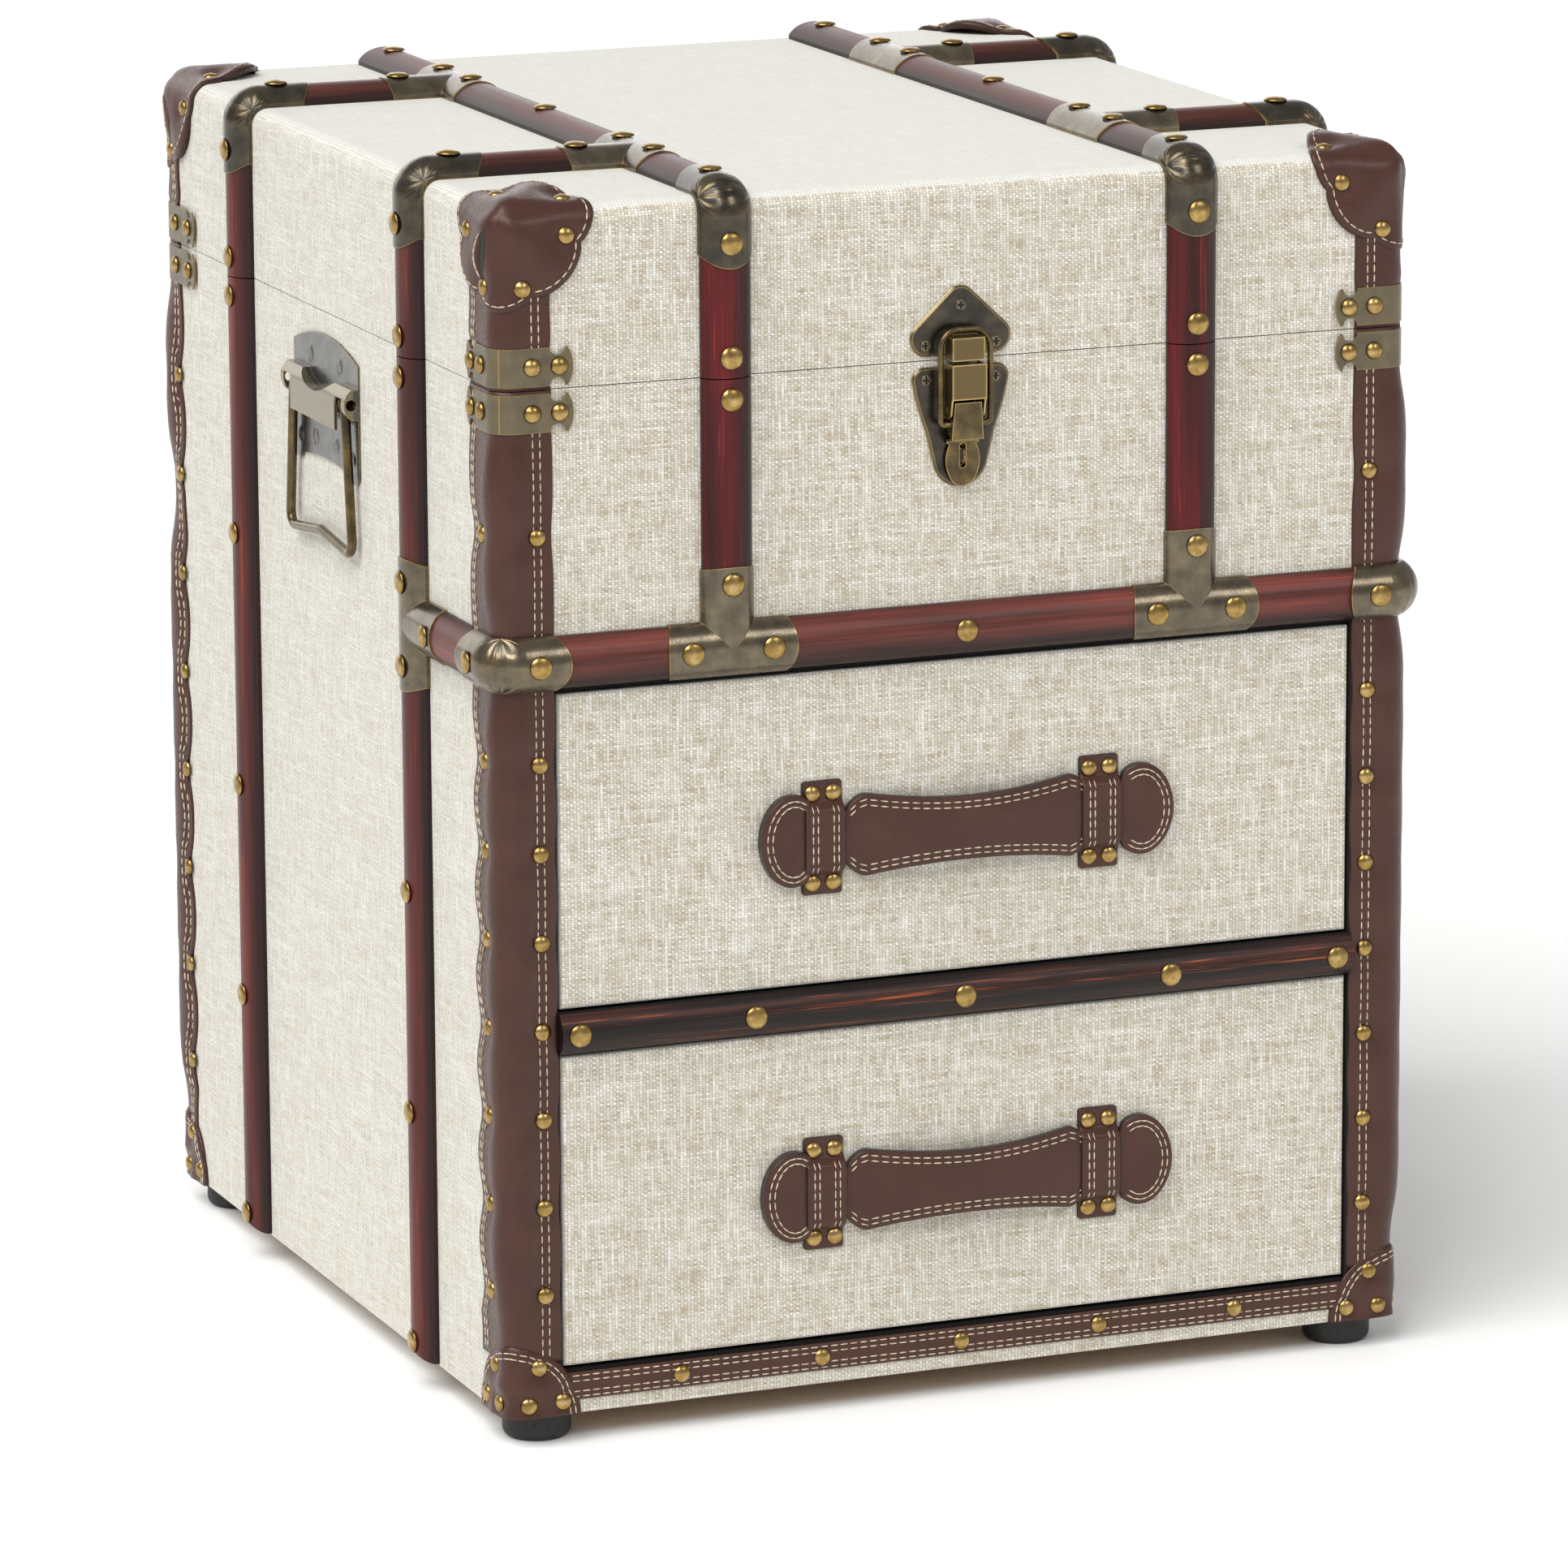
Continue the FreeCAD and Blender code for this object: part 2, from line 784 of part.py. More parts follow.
def corner_spots(pairs, level, way, lift, ends):
    """Spots on the front or back and on the side at each corner: pairs are (across, up or down) from it."""
    spots = []
    for side in SIDES:
        for end in ends:
            for across, along in pairs:
                height = level + way * along
                face = vec(side * (half_width - across), end * (half_depth + lift), height)
                flank = vec(side * (half_width + lift), end * (half_depth - across), height)
                spots += [(face, vec(0, end, 0)), (flank, vec(side, 0, 0))]
    return spots


def strip_spots():
    """Studs down the leather corner strips: the front pair and the rear pair have their own spacing."""
    low = foot_height + strip_stud_above_foot
    front = [seam_height - strip_stud_below_seam]
    front += spaced(rail_middle - strip_stud_below_rail, low, strip_stud_count)
    rear = spaced(seam_height - rear_stud_below_seam, low + small_stud_radius, rear_stud_count)
    spots = []
    for end, heights in ((-1, front), (1, rear)):
        pairs = [(strip_stud_inset, height) for height in heights]
        spots += corner_spots(pairs, 0, 1, leather_thickness, (end,))
    return spots


def strap_spots(low):
    middle = low + strap_height / 2
    lift = leather_thickness + strap_sheet
    spots = corner_spots([(inset, 0) for inset in strap_stud_insets], middle, 1, lift, (-1,))
    return spots + corner_spots([(inset, 0) for inset in strap_rear_stud_insets], middle, 1, lift, (1,))


def tee_spots(at, along, outward):
    """Two studs on a tee's bar and one on its stem."""
    lift = outward * cover_thickness
    stem = outward.cross(along)
    return [(at + lift + along * tee_bar_stud, outward), (at + lift - along * tee_bar_stud, outward),
            (at + lift + stem * tee_stem_stud, outward)]


def body_studs():
    small = strip_spots() + strap_spots(lower_strap_low)
    small += corner_spots(bottom_patch_studs, foot_height, 1, leather_thickness, ENDS)
    band_middle = foot_height + band_low + band_height / 2
    for x in mirrored(band_stud_shares):
        small.append((vec(x, -half_depth - leather_thickness, band_middle), FRONT))
    large = [(vec(0, -half_depth - batten_thickness, rail_middle), FRONT)]
    rail_face = -half_depth - drawer_batten_thickness
    for x in mirrored(drawer_rail_stud_shares):
        large.append((vec(x, rail_face, drawer_rail_low + drawer_rail_height / 2), FRONT))
    for side in SIDES:
        outward = vec(side, 0, 0)
        face = side * (half_width + batten_thickness)
        below_seam = seam_height - seam_stud_offset
        large.append((vec(side * slat_x, -half_depth - batten_thickness, below_seam), FRONT))
        for y, shares in ((slat_front_y, side_stud_shares[1:]), (slat_rear_y, side_stud_shares)):
            heights = [foot_height + share * (seam_height - foot_height) for share in shares]
            for height in [below_seam] + heights:
                large.append((vec(face, y, height), outward))
        large += tee_spots(vec(side * slat_x, -half_depth, rail_middle), RIGHT, FRONT)
        large += tee_spots(vec(side * half_width, slat_front_y, rail_middle), FRONT.cross(outward), outward)
        reach = leather_thickness + cover_thickness
        large.append((vec(side * (half_width - rail_corner_stud), -half_depth - reach, rail_middle), FRONT))
        large.append((vec(side * (half_width + reach), -half_depth + rail_corner_stud, rail_middle), outward))
    return group(heads(small_stud_radius, small_stud_height, small)
                 + heads(large_stud_radius, large_stud_height, large))


def mirrored(shares):
    """Each share of the half opening and its mirror image, with the middle once."""
    return sorted({side * share * opening_half for share in shares for side in SIDES})


def lid_studs():
    small = strap_spots(upper_strap_low)
    small += corner_spots(lid_patch_studs, lid_top_height, -1, leather_thickness, ENDS)
    for side in SIDES:
        for end in ENDS:
            for across, along in lid_patch_studs:
                top = lid_top_height + leather_thickness
                small.append((vec(side * (half_width - along), end * (half_depth - across), top), UP))
    seam_stud = seam_height + seam_stud_offset
    elbow_stud = lid_top_height - elbow_stud_drop
    crown = lid_top_height + batten_thickness
    cover = lid_top_height + cover_thickness
    large = []
    for side in SIDES:
        outward = vec(side, 0, 0)
        large.append((vec(side * slat_x, -half_depth - batten_thickness, seam_stud), FRONT))
        large.append((vec(side * slat_x, -half_depth - cover_thickness, elbow_stud), FRONT))
        large.append((vec(side * slat_x, -half_depth + elbow_stud_inset, cover), UP))
        large.append((vec(side * slat_x, (slat_front_y + slat_rear_y) / 2, crown), UP))
        rear_end = half_depth - long_slat_rear_gap - long_slat_end_stud
        large.append((vec(side * slat_x, rear_end, crown), UP))
        for y in (slat_front_y, slat_rear_y):
            large.append((vec(side * (half_width + batten_thickness), y, seam_stud), outward))
            large.append((vec(side * (half_width + cover_thickness), y, elbow_stud), outward))
            large.append((vec(side * (half_width - elbow_stud_inset), y, cover), UP))
            large += tee_spots(vec(side * slat_x, y, lid_top_height), outward.cross(UP), UP)
    return group(heads(small_stud_radius, small_stud_height, small)
                 + heads(large_stud_radius, large_stud_height, large))


def bent_wire(points, radii, wire_radius):
    """A round wire along straight runs joined by tangent bends, one radius for each inner point."""
    edges = []
    here = points[0]
    for index, radius in enumerate(radii, 1):
        corner = points[index]
        arriving = (corner - points[index - 1]).normalize()
        leaving = (points[index + 1] - corner).normalize()
        half_turn = arriving.getAngle(leaving) / 2
        trim = radius * math.tan(half_turn)
        inward = (leaving - arriving).normalize()
        middle = corner + inward * (radius / math.cos(half_turn) - radius)
        bend_start = corner - arriving * trim
        bend_end = corner + leaving * trim
        edges.append(Part.LineSegment(here, bend_start).toShape())
        edges.append(Part.Arc(bend_start, middle, bend_end).toShape())
        here = bend_end
    edges.append(Part.LineSegment(here, points[-1]).toShape())
    section = Part.Wire(Part.makeCircle(wire_radius, points[0], points[1] - points[0]))
    return Part.Wire(edges).makePipeShell([section], True, False)


def rod(radius, half_length, depth, height):
    """A round bar along X, centred at X zero, for pins and for their holes."""
    return Part.makeCylinder(radius, 2 * half_length, vec(-half_length, depth, height), RIGHT)


def bevelled(face):
    """A latch plate from its outline: a straight rim, then a slope to the same outline set in."""
    flank = latch_plate_sheet - latch_plate_bevel
    low = face.OuterWire.copy()
    low.translate(vec(0, flank, 0))
    high = face.makeOffset2D(-latch_plate_bevel, sharp_joins).OuterWire.copy()
    high.translate(vec(0, latch_plate_sheet, 0))
    slope = Part.makeLoft([low, high], True, True)
    return face.extrude(vec(0, flank, 0)).fuse(slope).removeSplitter()


def latch_keeper():
    """A round-cornered triangular plate on the lid, with the hollow lug that the bail hooks over."""
    blank = outline([(vec(-keeper_base_half, 0, keeper_low),), (vec(keeper_base_half, 0, keeper_low),),
                     (vec(0, 0, keeper_high),)]).extrude(vec(0, latch_plate_sheet, 0))
    blank = blank.makeFillet(keeper_round, [edge for edge in blank.Edges
                                            if abs(edge.Length - latch_plate_sheet) < same_place])
    plate = bevelled(min(blank.Faces, key=lambda face: face.CenterOfMass.y))
    lug_top = bail_top - bail_wire_radius - bail_seat
    lug = slab((-lug_half, lug_half), (latch_plate_sheet, lug_reach), (lug_low, lug_top))
    hollow = slab((-lug_half + lug_wall, lug_half - lug_wall), (latch_plate_sheet, lug_reach - lug_wall),
                  (lug_low - overrun, lug_top - lug_wall))
    return group([to_latch(solid) for solid in (plate, lug.cut(hollow))])


def latch_plate():
    """The lower plate with the channel that hides the lever's pivot, its two ears and the staple."""
    shoulder = plate_top - plate_shoulder_round
    corner = plate_shoulder_half - plate_shoulder_round
    turn = plate_shoulder_round * diagonal_share
    steps = [
        (vec(corner, 0, plate_top),),
        (vec(corner + turn, 0, shoulder + turn), vec(plate_shoulder_half, 0, shoulder)),
        (vec(plate_hip_half, 0, plate_hip), vec(plate_waist_half, 0, plate_waist)),
        (vec(plate_foot_half, 0, plate_foot),),
        (vec(0, 0, plate_bottom), vec(-plate_foot_half, 0, plate_foot)),
        (vec(-plate_waist_half, 0, plate_waist),),
        (vec(-plate_hip_half, 0, plate_hip), vec(-plate_shoulder_half, 0, shoulder)),
        (vec(-corner - turn, 0, shoulder + turn), vec(-corner, 0, plate_top)),
    ]
    plate = bevelled(outline(steps))
    channel = slab((-channel_half, channel_half), (latch_plate_sheet, channel_reach),
                   (channel_bottom, channel_top))
    hollow = slab((-channel_half + channel_wall, channel_half - channel_wall),
                  (latch_plate_sheet, channel_reach - channel_wall),
                  (channel_bottom - overrun, channel_top + overrun))
    channel = channel.cut(hollow).fuse([latch_ear(side) for side in SIDES]).removeSplitter()
    return group([to_latch(solid) for solid in (plate, channel, latch_staple())])


def latch_ear(side):
    """One side wall of the channel carried down round the lever's pin, with the pin's hole."""
    low = lever_pin_height - ear_radius
    turn = ear_radius * diagonal_share
    ear = outline([
        (vec(0, latch_plate_sheet, channel_bottom),),
        (vec(0, latch_plate_sheet, low),),
        (vec(0, lever_pin_depth, low),),
        (vec(0, lever_pin_depth + turn, lever_pin_height - turn),
         vec(0, lever_pin_depth + ear_radius, lever_pin_height)),
        (vec(0, channel_reach - channel_wall, channel_bottom),),
    ])
    ear.translate(vec(side * channel_half, 0, 0))
    ear = ear.extrude(vec(-side * channel_wall, 0, 0))
    hole = rod(lever_pin_radius, channel_half, lever_pin_depth, lever_pin_height)
    return ear.cut(hole)


def latch_staple():
    """A half ring of wire standing on the plate, through the slot in the lever's tab."""
    circle = Part.makeCircle(staple_wire_radius, vec(0, latch_plate_sheet, staple_radius), BACK)
    section = Part.Face(Part.Wire(circle))
    ring = section.revolve(vec(0, latch_plate_sheet, 0), RIGHT, -180)
    ring.translate(vec(0, 0, staple_height))
    return ring


def latch_pin():
    pin = rod(lever_pin_radius, channel_half, lever_pin_depth, lever_pin_height)
    return to_latch(pin)


def latch_lever():
    """A folded sheet lever: sloped front, step and slotted tab, with two cheeks for the pin and the bail."""
    front = outline([
        (vec(0, lever_top_depth, lever_top),),
        (vec(0, lever_knee_depth, lever_knee),),
        (vec(0, lever_tab_depth, lever_step),),
        (vec(0, lever_tab_depth, lever_tab_end),),
        (vec(0, lever_tab_depth - lever_sheet, lever_tab_end),),
        (vec(0, lever_tab_depth - lever_sheet, lever_step + lever_sheet),),
        (vec(0, lever_knee_depth - lever_sheet, lever_knee + lever_sheet),),
        (vec(0, lever_top_depth - lever_sheet, lever_top),),
    ])
    front.translate(vec(-lever_tab_half, 0, 0))
    front = front.extrude(vec(2 * lever_tab_half, 0, 0)).common(lever_face())
    slot = outline([
        (vec(-tab_slot_half, 0, tab_slot_bottom + tab_slot_half),),
        (vec(0, 0, tab_slot_bottom), vec(tab_slot_half, 0, tab_slot_bottom + tab_slot_half)),
        (vec(tab_slot_half, 0, tab_slot_top - tab_slot_half),),
        (vec(0, 0, tab_slot_top), vec(-tab_slot_half, 0, tab_slot_top - tab_slot_half)),
    ]).extrude(vec(0, lever_top_depth, 0))
    cheek = outline([
        (vec(0, lever_top_depth, lever_top),),
        (vec(0, lever_knee_depth, lever_knee),),
        (vec(0, lever_back_depth, lever_back_low),),
        (vec(0, lever_back_depth, lever_pin_height),),
        (vec(0, lever_heel_depth, lever_heel),),
    ])
    cheek.translate(vec(-lever_tab_half, 0, 0))
    cheeks = cheek.extrude(vec(2 * lever_tab_half, 0, 0)).common(lever_taper(0)).cut(lever_taper(lever_sheet))
    lever = front.cut(slot).fuse(cheeks).removeSplitter()
    for depth, height, radius in ((lever_pin_depth, lever_pin_height, lever_pin_radius + lever_pin_clearance),
                                  (bail_depth, bail_pivot_height, bail_wire_radius + bail_hole_clearance)):
        lever = lever.cut(rod(radius, lever_half + overrun, depth, height))
    return to_latch(lever)


def lever_taper(inset):
    """The lever's folded part seen from the front, wider towards its knee, as a block."""
    top, knee = lever_top_half - inset, lever_knee_half - inset
    slope = (knee - top) / (lever_top - lever_knee)
    high = lever_heel + overrun
    above = top - slope * (high - lever_top)
    face = outline([(vec(-above, 0, high),), (vec(above, 0, high),),
                    (vec(knee, 0, lever_knee),), (vec(-knee, 0, lever_knee),)])
    return face.extrude(vec(0, lever_top_depth + overrun, 0))


def lever_face():
    """The lever seen from the front: a flared front, a neck, then a bulging tab with a round end."""
    tab_top = lever_step - lever_sheet
    face = outline([
        (vec(-lever_top_half, 0, lever_top),),
        (vec(lever_top_half, 0, lever_top),),
        (vec(lever_knee_half, 0, lever_knee),),
        (vec(lever_knee_half, 0, tab_top),),
        (vec(lever_tab_neck_half, 0, lever_tab_neck),),
        (vec(lever_tab_half, 0, lever_tab_level), vec(lever_tab_hip_half, 0, lever_tab_hip)),
        (vec(0, 0, lever_tab_end), vec(-lever_tab_hip_half, 0, lever_tab_hip)),
        (vec(-lever_tab_half, 0, lever_tab_level), vec(-lever_tab_neck_half, 0, lever_tab_neck)),
        (vec(-lever_knee_half, 0, tab_top),),
        (vec(-lever_knee_half, 0, lever_knee),),
    ])
    return face.extrude(vec(0, lever_top_depth + overrun, 0))


def latch_bail():
    """The wire loop from one cheek of the lever, up over the lug and down to the other cheek."""
    tuck = lever_half - lever_sheet
    places = [(-tuck, bail_pivot_height), (-bail_half, bail_pivot_height), (-bail_half, bail_top),
              (bail_half, bail_top), (bail_half, bail_pivot_height), (tuck, bail_pivot_height)]
    radii = [bail_hook_radius, bail_corner_radius, bail_corner_radius, bail_hook_radius]
    wire = bent_wire([vec(x, bail_depth, z) for x, z in places], radii, bail_wire_radius)
    return to_latch(wire)


def handle_plate():
    """A stamped plate with a bowed top and two round feet, and the housing that holds the bail's hooks."""
    foot_inner = handle_plate_half - handle_foot_width
    foot_middle = handle_plate_half - handle_foot_width / 2
    foot_top = handle_plate_bottom + handle_foot_rise
    steps = [
        (vec(foot_middle, 0, handle_plate_bottom), vec(handle_plate_half, 0, foot_top)),
        (vec(handle_plate_half, 0, handle_plate_shoulder),),
        (vec(0, 0, handle_plate_top), vec(-handle_plate_half, 0, handle_plate_shoulder)),
        (vec(-handle_plate_half, 0, foot_top),),
        (vec(-foot_middle, 0, handle_plate_bottom), vec(-foot_inner, 0, foot_top)),
        (vec(0, 0, handle_plate_arch), vec(foot_inner, 0, foot_top)),
    ]
    plate = outline(steps).extrude(vec(0, handle_plate_sheet, 0))
    return [plate, handle_housing()]


def handle_housing():
    """A raised bar along the plate: open ends, slots for the bail's legs, a tongue below and a dished top."""
    section = half_round(housing_height, housing_reach - handle_plate_sheet, housing_flank)
    housing = place(section.extrude(vec(2 * housing_half, 0, 0)), vec(-housing_half, handle_plate_sheet, 0),
                    RIGHT, BACK)
    tongue = slab((-housing_tongue_half, housing_tongue_half),
                  (housing_reach - housing_tongue_sheet, housing_reach), (-housing_tongue_drop, 0))
    housing = housing.fuse(tongue).removeSplitter()
    bore = handle_wire_radius + handle_wire_clearance
    for side in SIDES:
        start = side * (handle_hook_end - overrun)
        hole = Part.makeCylinder(bore, housing_half, vec(start, handle_wire_depth, 0), vec(side, 0, 0))
        slot = slab((side * housing_tongue_half, side * housing_slot_end), (0, housing_reach + overrun),
                    (-housing_height, bore))
        housing = housing.cut(hole).cut(slot)
    dish_radius = (housing_dish_half ** 2 + housing_dish ** 2) / (2 * housing_dish)
    dish_centre = vec(0, handle_plate_sheet, housing_height / 2 - housing_dish + dish_radius)
    return housing.cut(Part.makeCylinder(dish_radius, housing_reach, dish_centre, BACK))


def handle_bail():
    """A wire handle: hooks in the housing's ends, splayed legs, and a bottom run that rises to its middle."""
    places = [(-handle_hook_end, 0), (-handle_top_half, 0), (-handle_foot_half, -handle_drop),
              (0, handle_notch - handle_drop), (handle_foot_half, -handle_drop), (handle_top_half, 0),
              (handle_hook_end, 0)]
    radii = [handle_bend_radius] * (len(places) - 2)
    return bent_wire([vec(x, handle_wire_depth, z) for x, z in places], radii, handle_wire_radius)


def on_side(shape, outward):
    return on_wall(shape, outward, vec(outward.x * half_width, handle_y, handle_height))


def wall_screws(places, sheet):
    return [vec(x, sheet, z) for x, z in places]


def screw_solids(places, sheet, move):
    """Screw heads on a plate whose own +Y is outward, moved with it."""
    return [move(screw) for screw in heads(screw_radius, screw_height,
                                           [(at, BACK) for at in wall_screws(places, sheet)])]


def to_latch(shape):
    return on_front(shape, 0, seam_height)


def hinge_places():
    return [vec(side * (half_width - hinge_inset), half_depth, seam_height) for side in SIDES]


def hinge_screw_places(way):
    spread = hinge_width * hinge_screw_spread_share
    height = way * hinge_leaf_height * hinge_screw_height_share
    return [(-spread, height), (spread, height)]


def hinge_leaf(way):
    """A leaf of a butt hinge: below the joint (-1) with two end knuckles, above it (1) with one."""
    half = hinge_width / 2
    barrel = hinge_width * hinge_barrel_half_share
    leaf = slab((-half, half), (0, hinge_leaf_sheet), (way * hinge_knuckle_radius, way * hinge_leaf_height))
    if way > 0:
        spans = [(-barrel, barrel)]
    else:
        spans = [(-half, -barrel - hinge_knuckle_gap), (barrel + hinge_knuckle_gap, half)]
    for start, end in spans:
        root = slab((start, end), (hinge_axis_depth - hinge_knuckle_radius, hinge_leaf_sheet),
                    (0, way * hinge_knuckle_radius))
        knuckle = Part.makeCylinder(hinge_knuckle_radius, end - start, vec(start, hinge_axis_depth, 0), RIGHT)
        leaf = leaf.fuse([root, knuckle])
    bore = hinge_pin_radius + (hinge_pin_clearance if way > 0 else 0)
    leaf = leaf.cut(rod(bore, half, hinge_axis_depth, 0))
    return leaf.removeSplitter()


def hinge_set(shape):
    return group([on_wall(shape, BACK, at) for at in hinge_places()])


def hinge_pins():
    return hinge_set(rod(hinge_pin_radius, hinge_width / 2, hinge_axis_depth, 0))


def hinge_screws(way):
    screws = []
    for at in hinge_places():
        screws += screw_solids(hinge_screw_places(way), hinge_leaf_sheet,
                               lambda screw, at=at: on_wall(screw, BACK, at))
    return screws


def body_screws():
    screws = screw_solids(plate_screws, latch_plate_sheet, to_latch)
    for outward in (LEFT, RIGHT):
        screws += screw_solids(handle_screws, handle_plate_sheet,
                               lambda screw, way=outward: on_side(screw, way))
    return group(screws + hinge_screws(-1))


def lid_screws():
    return group(screw_solids(keeper_screws, latch_plate_sheet, to_latch) + hinge_screws(1))


def drawer_front(opening):
    low = opening + front_gap
    high = opening + drawer_opening_height - front_gap
    board = slab((-drawer_front_half, drawer_front_half), (-half_depth, -half_depth + drawer_front_thickness),
                 (low, high))
    rim = [edge for edge in board.Edges if abs(edge.CenterOfMass.y + half_depth) < same_place]
    return board.makeFillet(drawer_front_round, rim)


def drawer_box(opening):
    """Two sides, a back and a bottom behind the drawer front."""
    low = opening + front_gap + drawer_lift
    high = low + drawer_side_height
    start = -half_depth + drawer_front_thickness
    end = start + drawer_length
    inner = drawer_side_outer - drawer_side_thickness
    solids = [slab((side * inner, side * drawer_side_outer), (start, end), (low, high)) for side in SIDES]
    solids.append(slab((-inner, inner), (end - drawer_side_thickness, end), (low, high)))
    bottom_low = low + drawer_bottom_inset
    solids.append(slab((-inner, inner), (start, end - drawer_side_thickness),
                       (bottom_low, bottom_low + drawer_bottom_thickness)))
    return group(solids)


def pull_height(opening):
    return opening + drawer_opening_height / 2 - pull_drop


def pull_strap():
    """A leather strap with round ends and a waist, bowed outwards between its loops."""
    body = outline([
        (vec(pull_shoulder_half, 0, pull_shoulder_height),),
        (vec(0, 0, pull_waist_height), vec(-pull_shoulder_half, 0, pull_shoulder_height)),
        (vec(-pull_shoulder_half, 0, -pull_shoulder_height),),
        (vec(0, 0, -pull_waist_height), vec(pull_shoulder_half, 0, -pull_shoulder_height)),
    ])
    depth = pull_seat + pull_rise + pull_thickness + overrun
    lobe = pull_half - pull_lobe_radius
    pieces = [slab((-lobe, lobe), (0, depth), (-pull_neck_height, pull_neck_height))]
    for side in SIDES:
        round_end = Part.makeCylinder(pull_lobe_radius, depth, vec(side * lobe, 0, 0), BACK)
        outside = slab((side * (loop_edge + loop_clearance), side * (pull_half + overrun)), (0, depth),
                       (-pull_lobe_radius, pull_lobe_radius))
        pieces.append(round_end.common(outside))
    flat = body.extrude(vec(0, depth, 0)).fuse(pieces).removeSplitter()
    inner = pull_seat
    outer = pull_seat + pull_thickness
    ends = pull_half + overrun
    bow = outline([
        (vec(-pull_shoulder_half, inner, 0),),
        (vec(0, inner + pull_rise, 0), vec(pull_shoulder_half, inner, 0)),
        (vec(ends, inner, 0),),
        (vec(ends, outer, 0),),
        (vec(pull_shoulder_half, outer, 0),),
        (vec(0, outer + pull_rise, 0), vec(-pull_shoulder_half, outer, 0)),
        (vec(-ends, outer, 0),),
        (vec(-ends, inner, 0),),
    ])
    bow.translate(vec(0, 0, -pull_lobe_radius - overrun))
    return flat.common(bow.extrude(vec(0, 0, 2 * (pull_lobe_radius + overrun))))


def pull_loop():
    """A leather loop over the strap's neck, with a flat foot above and below for its studs."""
    room = pull_seat + pull_thickness + loop_clearance
    crown = room + loop_thickness
    bridge = loop_foot - loop_slope
    above = [(loop_thickness, loop_half_height), (loop_thickness, loop_foot), (crown, bridge)]
    below = [(depth, -height) for depth, height in reversed(above)]
    skin = loop_thickness / 2
    inside = [(0, -loop_half_height), (0, -loop_foot + skin), (room, -bridge + skin),
              (room, bridge - skin), (0, loop_foot - skin), (0, loop_half_height)]
    face = outline([(vec(-loop_width / 2, depth, height),) for depth, height in above + below + inside])
    return face.extrude(vec(loop_width, 0, 0))


def drawer_pull(opening):
    solids = [pull_strap()]
    for side in SIDES:
        loop = pull_loop()
        loop.translate(vec(side * loop_spread / 2, 0, 0))
        solids.append(loop)
    return group([on_front(solid, 0, pull_height(opening)) for solid in solids])


def pull_studs(opening):
    spots = []
    across, up = loop_studs
    for side in SIDES:
        for x in (-across, across):
            for z in (-up, up):
                at = vec(side * loop_spread / 2 + x, -half_depth - loop_thickness, pull_height(opening) + z)
                spots.append((at, FRONT))
    return group(heads(small_stud_radius, small_stud_height, spots))


def carcass_nodes():
    nodes = {
        "side_panel_left": side_wall(-1, foot_height, body_top),
        "side_panel_right": side_wall(1, foot_height, body_top),
        "back_panel": cross_wall(1, foot_height, body_top),
        "front_panel_upper": cross_wall(-1, panel_low, body_top),
        "base_panel": shelf(foot_height),
        "drawer_shelf": shelf(shelf_low),
        "compartment_floor": shelf(floor_low),
        "front_stiles": front_stiles(),
        "bottom_rail": front_bar(foot_height, lower_opening),
        "drawer_rail_backing": front_bar(drawer_rail_low, upper_opening),
        "drawer_guides": drawer_guides(),
        "feet": feet(),
    }
    return nodes


def trim_nodes():
    let_in = side_rails().Solids
    nodes = {
        "leather_corner_strips": leather_strips(foot_height, body_top, foot_height, bottom_patch_radius,
                                                let_in),
        "leather_bottom_corners": leather_patches(body_form, foot_height, bottom_patch_radius),
        "leather_bottom_band": leather_band(),
        "corner_straps_lower": straps(lower_strap_low),
        "front_slats_lower": front_slats(rail_middle + batten_width / 2, body_top),
        "side_slats_lower": side_slats(foot_height + side_slat_bottom_gap, body_top, True),
        "front_rail": front_rail(),
        "side_rails": side_rails(),
        "drawer_rail": drawer_rail(),
        "rail_corner_brackets": rail_corner_brackets(),
        "rail_tee_brackets": group(front_tees() + side_tees()),
        "body_studs": body_studs(),
    }
    return nodes


def hardware_nodes():
    return {
        "latch_plate": latch_plate(),
        "latch_pin": latch_pin(),
        "latch_lever": latch_lever(),
        "latch_bail": latch_bail(),
        "latch_keeper": latch_keeper(),
        "handle_plates": group([on_side(solid, outward) for outward in (LEFT, RIGHT)
                                for solid in handle_plate()]),
        "handle_bail_left": on_side(handle_bail(), LEFT),
        "handle_bail_right": on_side(handle_bail(), RIGHT),
        "body_screws": body_screws(),
        "lid_screws": lid_screws(),
        "hinge_leaves_lower": hinge_set(hinge_leaf(-1)),
        "hinge_leaves_upper": hinge_set(hinge_leaf(1)),
        "hinge_pins": hinge_pins(),
    }


def lid_nodes():
    panel = slab((-chest_width, chest_width), (-chest_depth, chest_depth),
                 (lid_wall_top, lid_top_height + overrun))
    return {
        "lid_top": lid_form(0).common(panel).Solids[0],
        "lid_front": cross_wall(-1, lid_low, lid_wall_top),
        "lid_back": cross_wall(1, lid_low, lid_wall_top),
        "lid_sides": group([side_wall(side, lid_low, lid_wall_top) for side in SIDES]),
        "lid_leather_strips": leather_strips(lid_low, lid_top_height - lid_edge_radius, lid_top_height,
                                             lid_patch_radius, []),
        "lid_leather_corners": leather_patches(lid_form, lid_top_height, lid_patch_radius),
        "corner_straps_upper": straps(upper_strap_low),
        "lid_long_slats": long_slats(),
        "lid_cross_slats": cross_slats(),
        "lid_front_slats": front_slats(lid_low, lid_top_height - lid_edge_radius),
        "lid_side_slats": side_slats(lid_low, lid_top_height - lid_edge_radius, False),
        "lid_elbow_brackets": group(lid_elbows(FRONT) + lid_elbows(LEFT) + lid_elbows(RIGHT)),
        "lid_tee_brackets": lid_tees(),
        "lid_studs": lid_studs(),
    }


